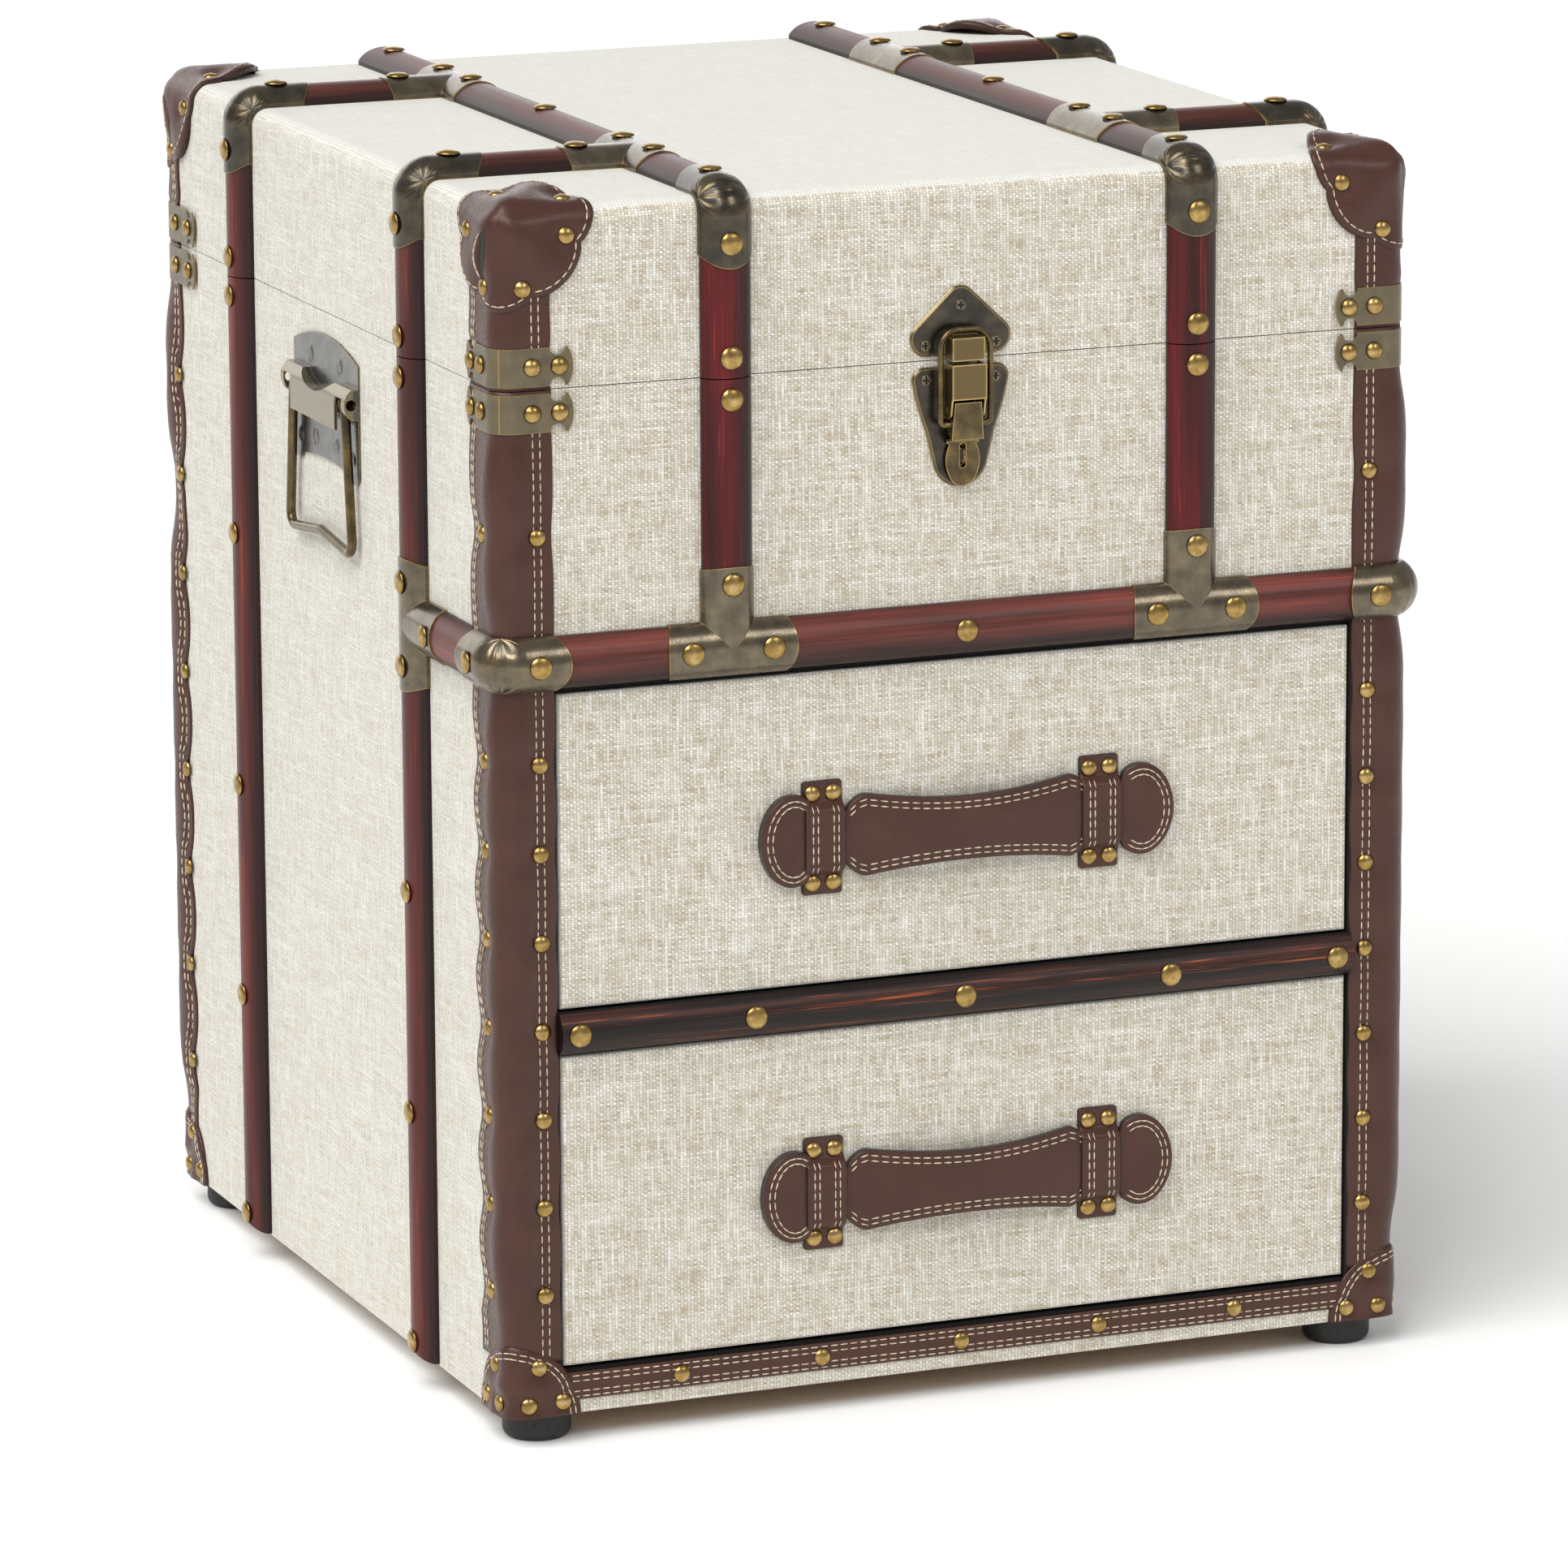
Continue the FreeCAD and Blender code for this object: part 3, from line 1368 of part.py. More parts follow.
def drawer_nodes():
    nodes = {}
    for name, opening in (("upper_drawer", upper_opening), ("lower_drawer", lower_opening)):
        nodes[name + "_front"] = drawer_front(opening)
        nodes[name + "_box"] = drawer_box(opening)
        nodes[name + "_pull"] = drawer_pull(opening)
        nodes[name + "_studs"] = pull_studs(opening)
    return nodes


def main():
    os.makedirs("parts", exist_ok=True)
    for nodes in (carcass_nodes(), trim_nodes(), hardware_nodes(), lid_nodes(), drawer_nodes()):
        for name, shape in nodes.items():
            moved = shape.copy()
            moved.translate(vec(0, frame_shift, 0))
            moved.exportStep("parts/" + name + ".step")


main()
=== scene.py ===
"""Looks of the linen trunk chest: leather, stitching, studs, screws and a finish for every other piece."""

import math

import bmesh
import bpy
import numpy as np
from bpy.props import FloatProperty, FloatVectorProperty, PointerProperty
from mathutils import Matrix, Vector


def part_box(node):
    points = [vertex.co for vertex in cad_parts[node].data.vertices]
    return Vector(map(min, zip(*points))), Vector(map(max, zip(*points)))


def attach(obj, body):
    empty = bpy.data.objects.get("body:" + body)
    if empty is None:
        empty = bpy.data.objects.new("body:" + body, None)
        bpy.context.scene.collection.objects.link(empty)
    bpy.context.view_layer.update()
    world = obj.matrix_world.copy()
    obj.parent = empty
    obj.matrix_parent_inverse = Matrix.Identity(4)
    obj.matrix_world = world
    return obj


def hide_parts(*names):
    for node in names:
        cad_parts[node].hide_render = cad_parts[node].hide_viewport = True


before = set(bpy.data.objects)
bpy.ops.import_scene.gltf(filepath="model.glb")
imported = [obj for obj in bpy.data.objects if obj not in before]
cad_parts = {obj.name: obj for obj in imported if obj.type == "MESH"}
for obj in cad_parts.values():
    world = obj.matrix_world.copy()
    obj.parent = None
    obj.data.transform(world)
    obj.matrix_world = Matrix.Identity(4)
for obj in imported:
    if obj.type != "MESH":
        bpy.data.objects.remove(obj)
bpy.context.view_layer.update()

bl_info = {
    "name": "Linen trunk chest looks",
    "version": (1, 0, 0),
    "blender": (4, 5, 0),
    "location": "3D View > Sidebar > Trunk",
    "description": "Dresses the solids of a linen trunk chest with leather, stitching, studs and finishes",
    "category": "Object",
}

MM = 0.001
# The photograph's camera: lens in millimetres, place in metres, and turn, tilt and roll in degrees
CAMERA_LENS = 200.7414
CAMERA_PLACE = (-1.53487, -3.84586, 1.17961)
CAMERA_TURN, CAMERA_TILT, CAMERA_ROLL = 21.8362, -12.7259, -0.2967
# The place that the lights face, in metres
LIGHT_TARGET = np.array([0, 0, 0.3])
HALF_TURN = math.pi
QUARTER_TURN = math.pi / 2


def node_box(name):
    """Lowest and highest corner of a CAD node, in millimetres."""
    return [np.array(corner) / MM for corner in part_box(name)]


# Faces of the covered box, in millimetres
half_width = node_box("side_panel_right")[1][0]
front = node_box("front_panel_upper")[0][1]
back = node_box("back_panel")[1][1]
foot_top = node_box("side_panel_left")[0][2]
body_top = node_box("side_panel_left")[1][2]
lid_low = node_box("lid_front")[0][2]
lid_top = node_box("lid_top")[1][2]
SIDES = (-1, 1)
ENDS = (-1, 1)


# Colours and nodes


def linear(hex_colour, alpha=True):
    """An sRGB hex colour as linear red, green and blue, with alpha 1 where a socket wants it."""
    parts = [int(hex_colour[i:i + 2], 16) / 255 for i in (1, 3, 5)]
    rgb = [p / 12.92 if p <= 0.04045 else ((p + 0.055) / 1.055) ** 2.4 for p in parts]
    return (*rgb, 1.0) if alpha else tuple(rgb)


def link(tree, node, links):
    """Gives each named input of a node a value, an output, or the first used output of another node."""
    for socket, value in links.items():
        if isinstance(value, bpy.types.Node):
            value = next(output for output in value.outputs if output.enabled)
        if isinstance(value, bpy.types.NodeSocket):
            tree.links.new(value, node.inputs[socket])
        else:
            node.inputs[socket].default_value = value


def add(tree, kind, links=None, stops=(), **settings):
    """Adds one shader node with its settings and links, and stops that fill a colour ramp."""
    node = tree.nodes.new("ShaderNode" + kind)
    for key, value in settings.items():
        setattr(node, key, value)
    link(tree, node, links or {})
    for number, (place, hex_colour) in enumerate(stops):
        band = node.color_ramp.elements
        element = band[number] if number < len(band) else band.new(place)
        element.position, element.color = place, linear(hex_colour)
    return node


def per_metre(millimetres):
    """Scale of a noise or a grain whose cells have a real size in millimetres."""
    return 1 / (millimetres * MM)


def new_material(name):
    """An empty node material, its tree and its shader, joined to the output."""
    material = bpy.data.materials.new(name)
    material.use_nodes = True
    tree = material.node_tree
    tree.nodes.clear()
    shader = add(tree, "BsdfPrincipled")
    add(tree, "OutputMaterial", {"Surface": shader})
    return material, tree, shader


def finish_nodes(names, material):
    """Gives CAD nodes a material in place of their plain one."""
    for name in names:
        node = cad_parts[name]
        if not node.material_slots:
            node.data.materials.append(material)
        for material_slot in node.material_slots:
            material_slot.material = material


# Surfaces


def grid_faces(rows, columns, start=0, closed=False):
    """Quads of a grid of points numbered row by row; closed joins the last column to the first."""
    number = np.arange(rows * columns).reshape(rows, columns) + start
    left = number if closed else number[:, :-1]
    right = np.roll(number, -1, axis=1) if closed else number[:, 1:]
    return np.stack([left[:-1], right[:-1], right[1:], left[1:]], -1).reshape(-1, 4)


def pillow(top, under, closed=False):
    """Closes two grids of one size into a skin: the top, the underside, and quads between their rims.

    closed grids run right round a pole in their first row, so that only their last row is a rim.
    """
    rows, columns = top.shape[:2]
    count = rows * columns
    number = np.arange(count).reshape(rows, columns)
    rim = number[-1, ::-1] if closed else np.concatenate([
        number[0, :-1], number[:-1, -1], number[-1, :0:-1], number[:0:-1, 0]])
    after = np.roll(rim, -1)
    skirt = np.stack([after, rim, rim + count, after + count], -1)
    faces = np.concatenate([
        grid_faces(rows, columns, 0, closed), grid_faces(rows, columns, count, closed)[:, ::-1], skirt])
    points = np.concatenate([top.reshape(-1, 3), under.reshape(-1, 3)])
    return points, outward_faces(points, faces)


def outward_faces(points, faces):
    """The faces of a closed skin, turned round if the volume inside them counts as negative."""
    a, b, c, d = (points[faces[:, i]] - points.mean(0) for i in range(4))
    volume = np.einsum("ij,ij->i", a, np.cross(b, c)) + np.einsum("ij,ij->i", a, np.cross(c, d))
    return faces if volume.sum() > 0 else faces[:, ::-1]


def join_points(mesh, distance):
    """Makes one point of the points of a mesh that lie within a distance in metres of each other."""
    merged = bmesh.new()
    merged.from_mesh(mesh)
    bmesh.ops.remove_doubles(merged, verts=merged.verts, dist=distance)
    merged.to_mesh(mesh)
    merged.free()


def skin(name, parts, material, body, stands_for=(), values=None):
    """One piece from (points in millimetres, quads) parts, with named point values, riding on a body."""
    starts = np.cumsum([0] + [len(points) for points, _ in parts])
    points = np.concatenate([points for points, _ in parts]) * MM
    faces = np.concatenate([faces + start for (_, faces), start in zip(parts, starts)])
    mesh = bpy.data.meshes.new(name)
    mesh.vertices.add(len(points))
    mesh.vertices.foreach_set("co", points.astype(np.float32).ravel())
    mesh.loops.add(faces.size)
    mesh.loops.foreach_set("vertex_index", faces.astype(np.int32).ravel())
    mesh.polygons.add(len(faces))
    mesh.polygons.foreach_set("loop_start", np.arange(0, faces.size, 4, dtype=np.int32))
    mesh.polygons.foreach_set("use_smooth", np.ones(len(faces), bool))
    for key, value in (values or {}).items():
        layer = mesh.attributes.new(key, "FLOAT", "POINT")
        layer.data.foreach_set("value", np.asarray(value, np.float32).ravel())
    mesh.update(calc_edges=True)
    join_points(mesh, 1e-7)
    mesh.validate()
    mesh.materials.append(material)
    piece = bpy.data.objects.new(name, mesh)
    bpy.context.scene.collection.objects.link(piece)
    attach(piece, body)
    if stands_for:
        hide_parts(*stands_for)
    return piece


# Radius of the box's upright edges under the leather, in millimetres, and half the arc round one
EDGE = 9.0
HALF_ARC = EDGE * math.pi / 4


def corner_walk(side, end, along, height, lift):
    """Points round an upright edge of the box: two straight walls joined by a quarter circle.

    along is measured on the linen from the middle of the edge, positive on the front or back wall
    and negative on the side wall, and lift is the distance off the linen.
    """
    on_arc = np.clip(along, -HALF_ARC, HALF_ARC)
    angle = on_arc / EDGE + math.pi / 4
    beyond = along - on_arc
    reach = EDGE + lift
    wall = front if end < 0 else back
    x = side * (half_width - EDGE + reach * np.cos(angle) - np.maximum(beyond, 0))
    y = wall + end * (reach * np.sin(angle) - EDGE + np.minimum(beyond, 0))
    return np.stack(np.broadcast_arrays(x, y, height + 0 * x), -1)


def leg(length):
    """Distance along the linen from an edge's middle to a line that lies length from the sharp corner."""
    return length - EDGE + HALF_ARC


# Radius of the box's corners under the leather caps, in millimetres
CORNER = 8.5


def corner_cap(side, end, way, reach, turn, lift):
    """Points round a corner of the box, by polar reach and turn over the faces that meet there.

    The faces' plane points are drawn on to the rounded box: each goes CORNER plus lift away from the
    nearest point of the box's core. way is 1 at the lid's corners, over three faces, and -1 at the
    bottom ones, where the faces end square at the base.
    """
    inwards = np.stack([
        reach * np.maximum(np.sin(turn), 0),
        reach * np.maximum(-np.cos(turn), 0),
        reach * np.maximum.reduce([np.cos(turn), -np.sin(turn), 0 * turn])], -1)
    rounded = np.array([CORNER, CORNER, CORNER if way > 0 else 0.0])
    core = np.maximum(inwards, rounded)
    away = inwards - core
    away /= np.linalg.norm(away, axis=-1, keepdims=True)
    place = core + away * (CORNER + lift)[..., None]
    wall = front if end < 0 else back
    level = lid_top if way > 0 else foot_top
    return np.stack([
        side * (half_width - place[..., 0]),
        wall - end * place[..., 1],
        level - way * place[..., 2]], -1)


def round_edge(distance, width):
    """Share of full thickness at a distance from a cut edge: a quarter ellipse that is full at width."""
    share = np.clip(distance / width, 0, 1)
    return np.sqrt(1 - (1 - share) ** 2)


# Points round one stitch
GRAIN_TURNS = 8


def thread_grains(path, outward, sizes):
    """Stitches along a path of (place, place after) points: closed grains, half sunk, of 3 rings and 2 poles.

    Each grain is an ellipsoid of the length, width and height in sizes, flattened below.
    """
    place, ahead = path
    length, width, height = sizes
    along = ahead - place
    along /= np.linalg.norm(along, axis=-1, keepdims=True)
    across = np.cross(outward, along)
    around = np.arange(GRAIN_TURNS) / GRAIN_TURNS * 2 * HALF_TURN
    ring = np.array([0.0, 1.0, 0.75, 0.0])[:, None]
    rise = np.array([-0.35, 0.0, 0.7, 1.0])[:, None] + 0 * around
    local = np.stack([
        ring * np.cos(around) * length / 2, ring * np.sin(around) * width / 2, rise * height], -1)
    grains = (
        place[:, None, None, :]
        + local[None, ..., :1] * along[:, None, None, :]
        + local[None, ..., 1:2] * across[:, None, None, :]
        + local[None, ..., 2:] * outward[:, None, None, :])
    count = local.shape[0] * local.shape[1]
    faces = grid_faces(*local.shape[:2], closed=True)
    all_faces = faces[None] + (np.arange(len(place)) * count)[:, None, None]
    return grains.reshape(-1, 3), all_faces.reshape(-1, 4)


def stitch_row(surface, spots, step, tall=1.0):
    """Stitch grains at parameters spots of a curve on a surface: surface(spots, lift) gives its points.

    tall makes the grains of slack stitches higher, where they are seen from the side.
    """
    sizes = bpy.context.scene.trunk_sizes
    place = surface(spots, 0.0)
    outward = surface(spots, 1.0) - place
    outward /= np.linalg.norm(outward, axis=-1, keepdims=True)
    grain = (sizes.stitch_length / MM, sizes.stitch_width / MM, sizes.stitch_height / MM * tall)
    return thread_grains((place, surface(spots + step, 0.0)), outward, grain)


def spaced(low, high, pitch):
    """Evenly spaced stitch middles between two ends, about a pitch apart."""
    count = max(2, int(round((high - low) / pitch)))
    return low + (np.arange(count) + 0.5) * (high - low) / count


# Settings


def length(name, text, millimetres):
    """A length setting in metres."""
    return FloatProperty(name=name, description=text, default=millimetres * MM, unit="LENGTH", precision=5)


def colour(name, text, hex_colour):
    """A colour setting."""
    return FloatVectorProperty(
        name=name, description=text, default=linear(hex_colour, False), subtype="COLOR", size=3, min=0, max=1)


class TrunkSizes(bpy.types.PropertyGroup):
    """Sizes of the dressing that a user would change."""

    thread_pitch: length("Thread pitch", "Distance between the linen's threads, as drawn", 1.3)
    stitch_length: length("Stitch length", "Length of one stitch", 4.2)
    stitch_width: length("Stitch width", "Width of one stitch", 0.72)
    stitch_height: length("Stitch height", "How far a stitch stands off the leather", 0.42)
    stitch_pitch: length("Stitch pitch", "Distance between the middles of two stitches", 4.9)
    leather: length("Leather", "Thickness of the leather at its studs", 1.2)
    puff: length("Puff", "How far the leather strips swell round an edge", 3.0)
    patch_puff: length("Patch puff", "How far the corner caps swell", 1.7)
    scallop: length("Scallop", "How far a leather edge swings out between its studs", 6.0)


class TrunkColours(bpy.types.PropertyGroup):
    """Colours that a user would change."""

    floor: colour("Floor", "Studio floor", "#f7f7f6")


# Materials


def woven_linen(name, low=-1e4, high=1e4):
    """Undyed linen over board: a loose plain weave whose slubby threads go from tan to off-white.

    Below low and above high, in millimetres, the board is drawn black: painted shade in the gaps round the
    drawers.
    """
    # The eye sees a matt grid of pale threads with brown pinholes, and paler or darker threads both ways.
    material, tree, shader = new_material(name)
    # Real threads lie under a millimetre apart; the pitch is drawn coarser so that they show.
    pitch = bpy.context.scene.trunk_sizes.thread_pitch
    coordinates = add(tree, "TexCoord")
    place = add(tree, "SeparateXYZ", {0: coordinates.outputs["Object"]}).outputs
    facing = add(tree, "VectorMath", {0: coordinates.outputs["Normal"]}, operation="ABSOLUTE")
    normal = add(tree, "SeparateXYZ", {0: facing}).outputs
    on_side = add(tree, "Math", {0: normal["X"], 1: 0.7}, operation="GREATER_THAN")
    on_top = add(tree, "Math", {0: normal["Z"], 1: 0.7}, operation="GREATER_THAN")
    wobble = add(tree, "TexNoise", {
        "Vector": coordinates.outputs["Object"], "Scale": per_metre(22.22), "Detail": 2.0}).outputs
    sway = add(tree, "SeparateXYZ", {0: wobble["Color"]}).outputs
    level = add(tree, "Mix", {"Factor": on_side, "A": place["X"], "B": place["Y"]})
    climb = add(tree, "Mix", {"Factor": on_top, "A": place["Z"], "B": place["Y"]})
    threads = []
    # The weft is packed closer than the warp, so each crossing is a short level dash.
    for across, shift, apart in ((level, sway["X"], 1.25 * pitch), (climb, sway["Y"], 0.85 * pitch)):
        bent = add(tree, "Math", {0: shift, 1: pitch * 0.9, 2: across}, operation="MULTIPLY_ADD")
        threads.append(add(tree, "Math", {0: bent, 1: 1 / apart}, operation="MULTIPLY"))
    waves, tones, bands = [], [], []
    for number, (own, other) in enumerate((threads, threads[::-1])):
        turn = add(tree, "Math", {0: own, 1: HALF_TURN}, operation="MULTIPLY")
        waves.append(add(tree, "Math", {0: turn}, operation="COSINE"))
        single = add(tree, "Math", {0: own}, operation="ROUND")
        for source, wide, long, made in ((single, 3.7, 0.07, tones), (own, 0.30, 0.03, bands)):
            line = add(tree, "Math", {0: source, 1: wide}, operation="MULTIPLY")
            run = add(tree, "Math", {0: other, 1: long}, operation="MULTIPLY")
            seat = add(tree, "CombineXYZ", {0: line, 1: run, 2: 5.0 + 11 * number})
            made.append(add(tree, "TexNoise", {
                "Vector": seat, "Scale": 1.0, "Detail": 2.0, "Roughness": 0.6}))
    crossing = add(tree, "Math", {0: waves[0], 1: waves[1]}, operation="MULTIPLY")
    over = add(tree, "MapRange", {"Value": crossing, "From Min": -0.25, "From Max": 0.25})
    upper = add(tree, "Mix", {"Factor": over, "A": tones[1], "B": tones[0]})
    paler = add(tree, "Math", {0: tones[0], 1: tones[1]}, operation="MAXIMUM")
    single = add(tree, "Mix", {"Factor": 0.5, "A": upper, "B": paler})
    broad = add(tree, "Mix", {"Factor": 0.5, "A": bands[0], "B": bands[1]})
    tone = add(tree, "Mix", {"Factor": 0.15, "A": single, "B": broad})
    # Crossings where the weft lies on top are drawn paler and those of the warp darker: a painted highlight
    # on the weft, which lies a little higher.
    weft = add(tree, "MapRange", {"Value": over, "To Min": 0.045, "To Max": -0.035})
    tone = add(tree, "Math", {0: tone, 1: weft}, operation="ADD")
    # No two crossings and no two pinholes are alike, so the mesh sparkles instead of drawing a grid.
    chances = []
    for kind in ("ROUND", "FLOOR"):
        spot = [add(tree, "Math", {0: thread}, operation=kind) for thread in threads]
        cell = add(tree, "CombineXYZ", {0: spot[0], 1: spot[1], 2: 0.5})
        chances.append(add(tree, "TexWhiteNoise", {"Vector": cell}))
    spark = add(tree, "MapRange", {"Value": chances[0], "To Min": -0.06, "To Max": 0.06})
    tone = add(tree, "Math", {0: tone, 1: spark}, operation="ADD")
    cloth = add(tree, "ValToRGB", {"Fac": tone}, [
        (0.34, "#b5a891"), (0.46, "#cac3b3"), (0.56, "#dbd7cc"), (0.71, "#f1f0ec")])
    # Painted light: the cloth of the sides is drawn paler and flatter than that of the front, and that of the
    # top more so, for the light that falls on them.
    # pale is the share of this painted light, by which way the face turns.
    pale = add(tree, "Math", {0: on_side, 1: 0.4}, operation="MULTIPLY")
    pale = add(tree, "Math", {0: on_top, 1: 0.78, 2: pale}, operation="MULTIPLY_ADD")
    cloth = add(tree, "Mix", {"A": cloth, "B": linear("#e2e3dd"), "Factor": pale}, data_type="RGBA")
    # The pinholes are drawn brown: the board shows through them, deepened by painted shade; a fainter painted
    # shade runs along the threads' edges.
    backs = [add(tree, "Math", {0: wave}, operation="ABSOLUTE") for wave in waves]
    cover = add(tree, "Math", {0: backs[0], 1: backs[1]}, operation="MAXIMUM")
    valley = add(tree, "Math", {0: backs[0], 1: backs[1]}, operation="MINIMUM")
    hole = add(tree, "MapRange", {
        "Value": cover, "From Min": 0.30, "From Max": 0.84, "To Min": 0.9, "To Max": 0.0})
    painted_thread_edge_shade = add(tree, "MapRange", {"Value": valley, "From Max": 0.5, "To Min": 0.15, "To Max": 0.0})
    depth = add(tree, "MapRange", {"Value": chances[1], "To Min": 0.45, "To Max": 1.15})
    hole = add(tree, "Math", {0: hole, 1: depth}, operation="MULTIPLY")
    gap = add(tree, "Math", {0: hole, 1: painted_thread_edge_shade}, operation="MAXIMUM")
    # The painted light on the sides and the top also makes their pinholes fainter.
    pinholes_fainter_where_lit = add(tree, "MapRange", {"Value": pale, "To Min": 1.0, "To Max": 0.55})
    gap = add(tree, "Math", {0: gap, 1: pinholes_fainter_where_lit}, operation="MULTIPLY")
    # Where the broad bands are tan, the pinholes are brown too.
    pinhole = add(tree, "ValToRGB", {"Fac": broad}, [(0.40, "#86705a"), (0.60, "#9c8a74")])
    base = add(tree, "Mix", {"A": cloth, "B": pinhole, "Factor": gap}, data_type="RGBA")
    # Painted shade: black below the front rail and above the foot band, in the drawers' gaps.
    under = add(tree, "Math", {0: place["Z"], 1: low * MM}, operation="LESS_THAN")
    over_it = add(tree, "Math", {0: place["Z"], 1: high * MM}, operation="GREATER_THAN")
    gap_shade = add(tree, "Math", {0: under, 1: over_it}, operation="MAXIMUM")
    base = add(tree, "Mix", {"A": base, "B": linear("#161412"), "Factor": gap_shade}, data_type="RGBA")
    bump = add(tree, "Bump", {"Height": cover, "Strength": 0.5, "Distance": 0.0004})
    link(tree, shader, {"Base Color": base, "Normal": bump, "Roughness": 0.92, "Specular IOR Level": 0.2})
    return material


def gap_shade_cloth():
    """Black on the frame round the drawers, where it shows in their gaps: painted shade, matt, with a faint
    mottle.
    """
    material, tree, shader = new_material("black_gap_shade")
    coordinates = add(tree, "TexCoord").outputs["Object"]
    mottle = add(tree, "TexNoise", {"Vector": coordinates, "Scale": per_metre(2.0), "Detail": 2.0})
    cloth = add(tree, "ValToRGB", {"Fac": mottle}, [(0.3, "#121110"), (0.7, "#1e1c1a")])
    link(tree, shader, {"Base Color": cloth, "Roughness": 0.9})
    return material


def grain_coordinates(tree, along, across_mm, along_mm):
    """Object coordinates squeezed so that one noise cell is across_mm wide and along_mm long."""
    coordinates = add(tree, "TexCoord")
    cell = [per_metre(across_mm)] * 3
    cell["XYZ".index(along)] = per_metre(along_mm)
    mapping = add(tree, "Mapping", {"Vector": coordinates.outputs["Object"], "Scale": cell})
    return coordinates, mapping


def polished_mahogany(name, along, outward, stops, streak, shaded_flanks):
    """Stained, waxed hardwood batten: streaks along the grain, and painted shade that darkens it towards both
    edges.
    """
    # The eye sees a satin red crown with fine lengthwise lines, near-black flanks of painted shade and a few
    # bright rub marks.
    material, tree, shader = new_material(name)
    coordinates, fine = grain_coordinates(tree, along, 1.1, 90.0)
    _, broad = grain_coordinates(tree, along, 7.0, 130.0)
    _, rub = grain_coordinates(tree, along, 1.3, 55.0)
    fibres = add(tree, "TexNoise", {"Vector": fine, "Scale": 1.0, "Detail": 4.0, "Roughness": 0.65})
    bands = add(tree, "TexNoise", {"Vector": broad, "Scale": 1.0, "Detail": 2.0})
    worn = add(tree, "TexNoise", {"Vector": rub, "Scale": 1.0, "Detail": 2.0, "Roughness": 0.6})
    grain = add(tree, "Mix", {"Factor": 0.6, "A": fibres, "B": bands})
    wood = add(tree, "ValToRGB", {"Fac": grain}, stops)
    facing = add(tree, "VectorMath", {0: coordinates.outputs["Normal"], 1: outward}, operation="DOT_PRODUCT")
    crown = add(tree, "Math", {0: facing}, operation="ABSOLUTE")
    lines = add(tree, "MapRange", {"Value": worn, "From Min": 0.60, "From Max": 0.74})
    patches = add(tree, "MapRange", {"Value": bands, "From Min": 0.42, "From Max": 0.58})
    bright = add(tree, "Math", {0: lines, 1: patches}, operation="MULTIPLY")
    rubbed = add(tree, "Mix", {"A": wood, "B": linear(streak), "Factor": bright}, data_type="RGBA")
    # Painted shade: the flanks darken as they turn away from outward.
    dark = add(tree, "MapRange", {
        "Value": crown, "From Min": shaded_flanks[0], "From Max": shaded_flanks[1], "To Min": 0.9, "To Max": 0.0})
    body = add(tree, "Mix", {"A": rubbed, "B": linear("#1c1210"), "Factor": dark}, data_type="RGBA")
    gloss = add(tree, "MapRange", {
        "Value": grain, "From Min": 0.3, "From Max": 0.7, "To Min": 0.30, "To Max": 0.46})
    bump = add(tree, "Bump", {"Height": fibres, "Strength": 0.25, "Distance": 0.0003})
    link(tree, shader, {"Base Color": body, "Roughness": gloss, "Specular IOR Level": 0.3, "Normal": bump})
    return material


def red_leather(name, edge_colour):
    """Waxed cowhide dyed red-brown: fine pores, a soft sheen on its swellings and a dark cut edge."""
    # The eye sees a warm brown skin with small shiny creases; the point value edge darkens its rims.
    material, tree, shader = new_material(name)
    coordinates = add(tree, "TexCoord").outputs["Object"]
    cloud = add(tree, "TexNoise", {"Vector": coordinates, "Scale": per_metre(18.18), "Detail": 4.0})
    # Real pores are under half a millimetre; these cells are 1.1 mm so that they show.
    pores = add(tree, "TexVoronoi", {
        "Vector": coordinates, "Scale": per_metre(1.111)}, feature="DISTANCE_TO_EDGE")
    crease = add(tree, "TexNoise", {"Vector": coordinates, "Scale": per_metre(2.381), "Detail": 3.0})
    hide = add(tree, "ValToRGB", {"Fac": cloud}, [(0.3, "#40251e"), (0.5, "#442821"), (0.7, "#4a2c25")])
    edge = add(tree, "Attribute", attribute_name="edge").outputs["Fac"]
    skin_colour = add(tree, "Mix", {"A": hide, "B": linear(edge_colour), "Factor": edge}, data_type="RGBA")
    height = add(tree, "Math", {0: pores, 1: 1.6, 2: crease}, operation="MULTIPLY_ADD")
    bump = add(tree, "Bump", {"Height": height, "Strength": 0.35, "Distance": 0.0003})
    gloss = add(tree, "MapRange", {
        "Value": crease, "From Min": 0.3, "From Max": 0.7, "To Min": 0.30, "To Max": 0.44})
    link(tree, shader, {
        "Base Color": skin_colour, "Normal": bump, "Roughness": gloss, "Specular IOR Level": 0.42,
        "Specular Tint": linear("#f6e0d6"), "Coat Weight": 0.15, "Coat Roughness": 0.25})
    return material


def sewing_thread():
    """Waxed linen thread: cream, matt, with a fine twist across each stitch."""
    material, tree, shader = new_material("waxed_thread")
    coordinates = add(tree, "TexCoord").outputs["Object"]
    twist = add(tree, "TexNoise", {"Vector": coordinates, "Scale": per_metre(1.429), "Detail": 2.0})
    cream = add(tree, "ValToRGB", {"Fac": twist}, [(0.3, "#a89779"), (0.6, "#d8cab3")])
    link(tree, shader, {"Base Color": cream, "Roughness": 0.8})
    return material


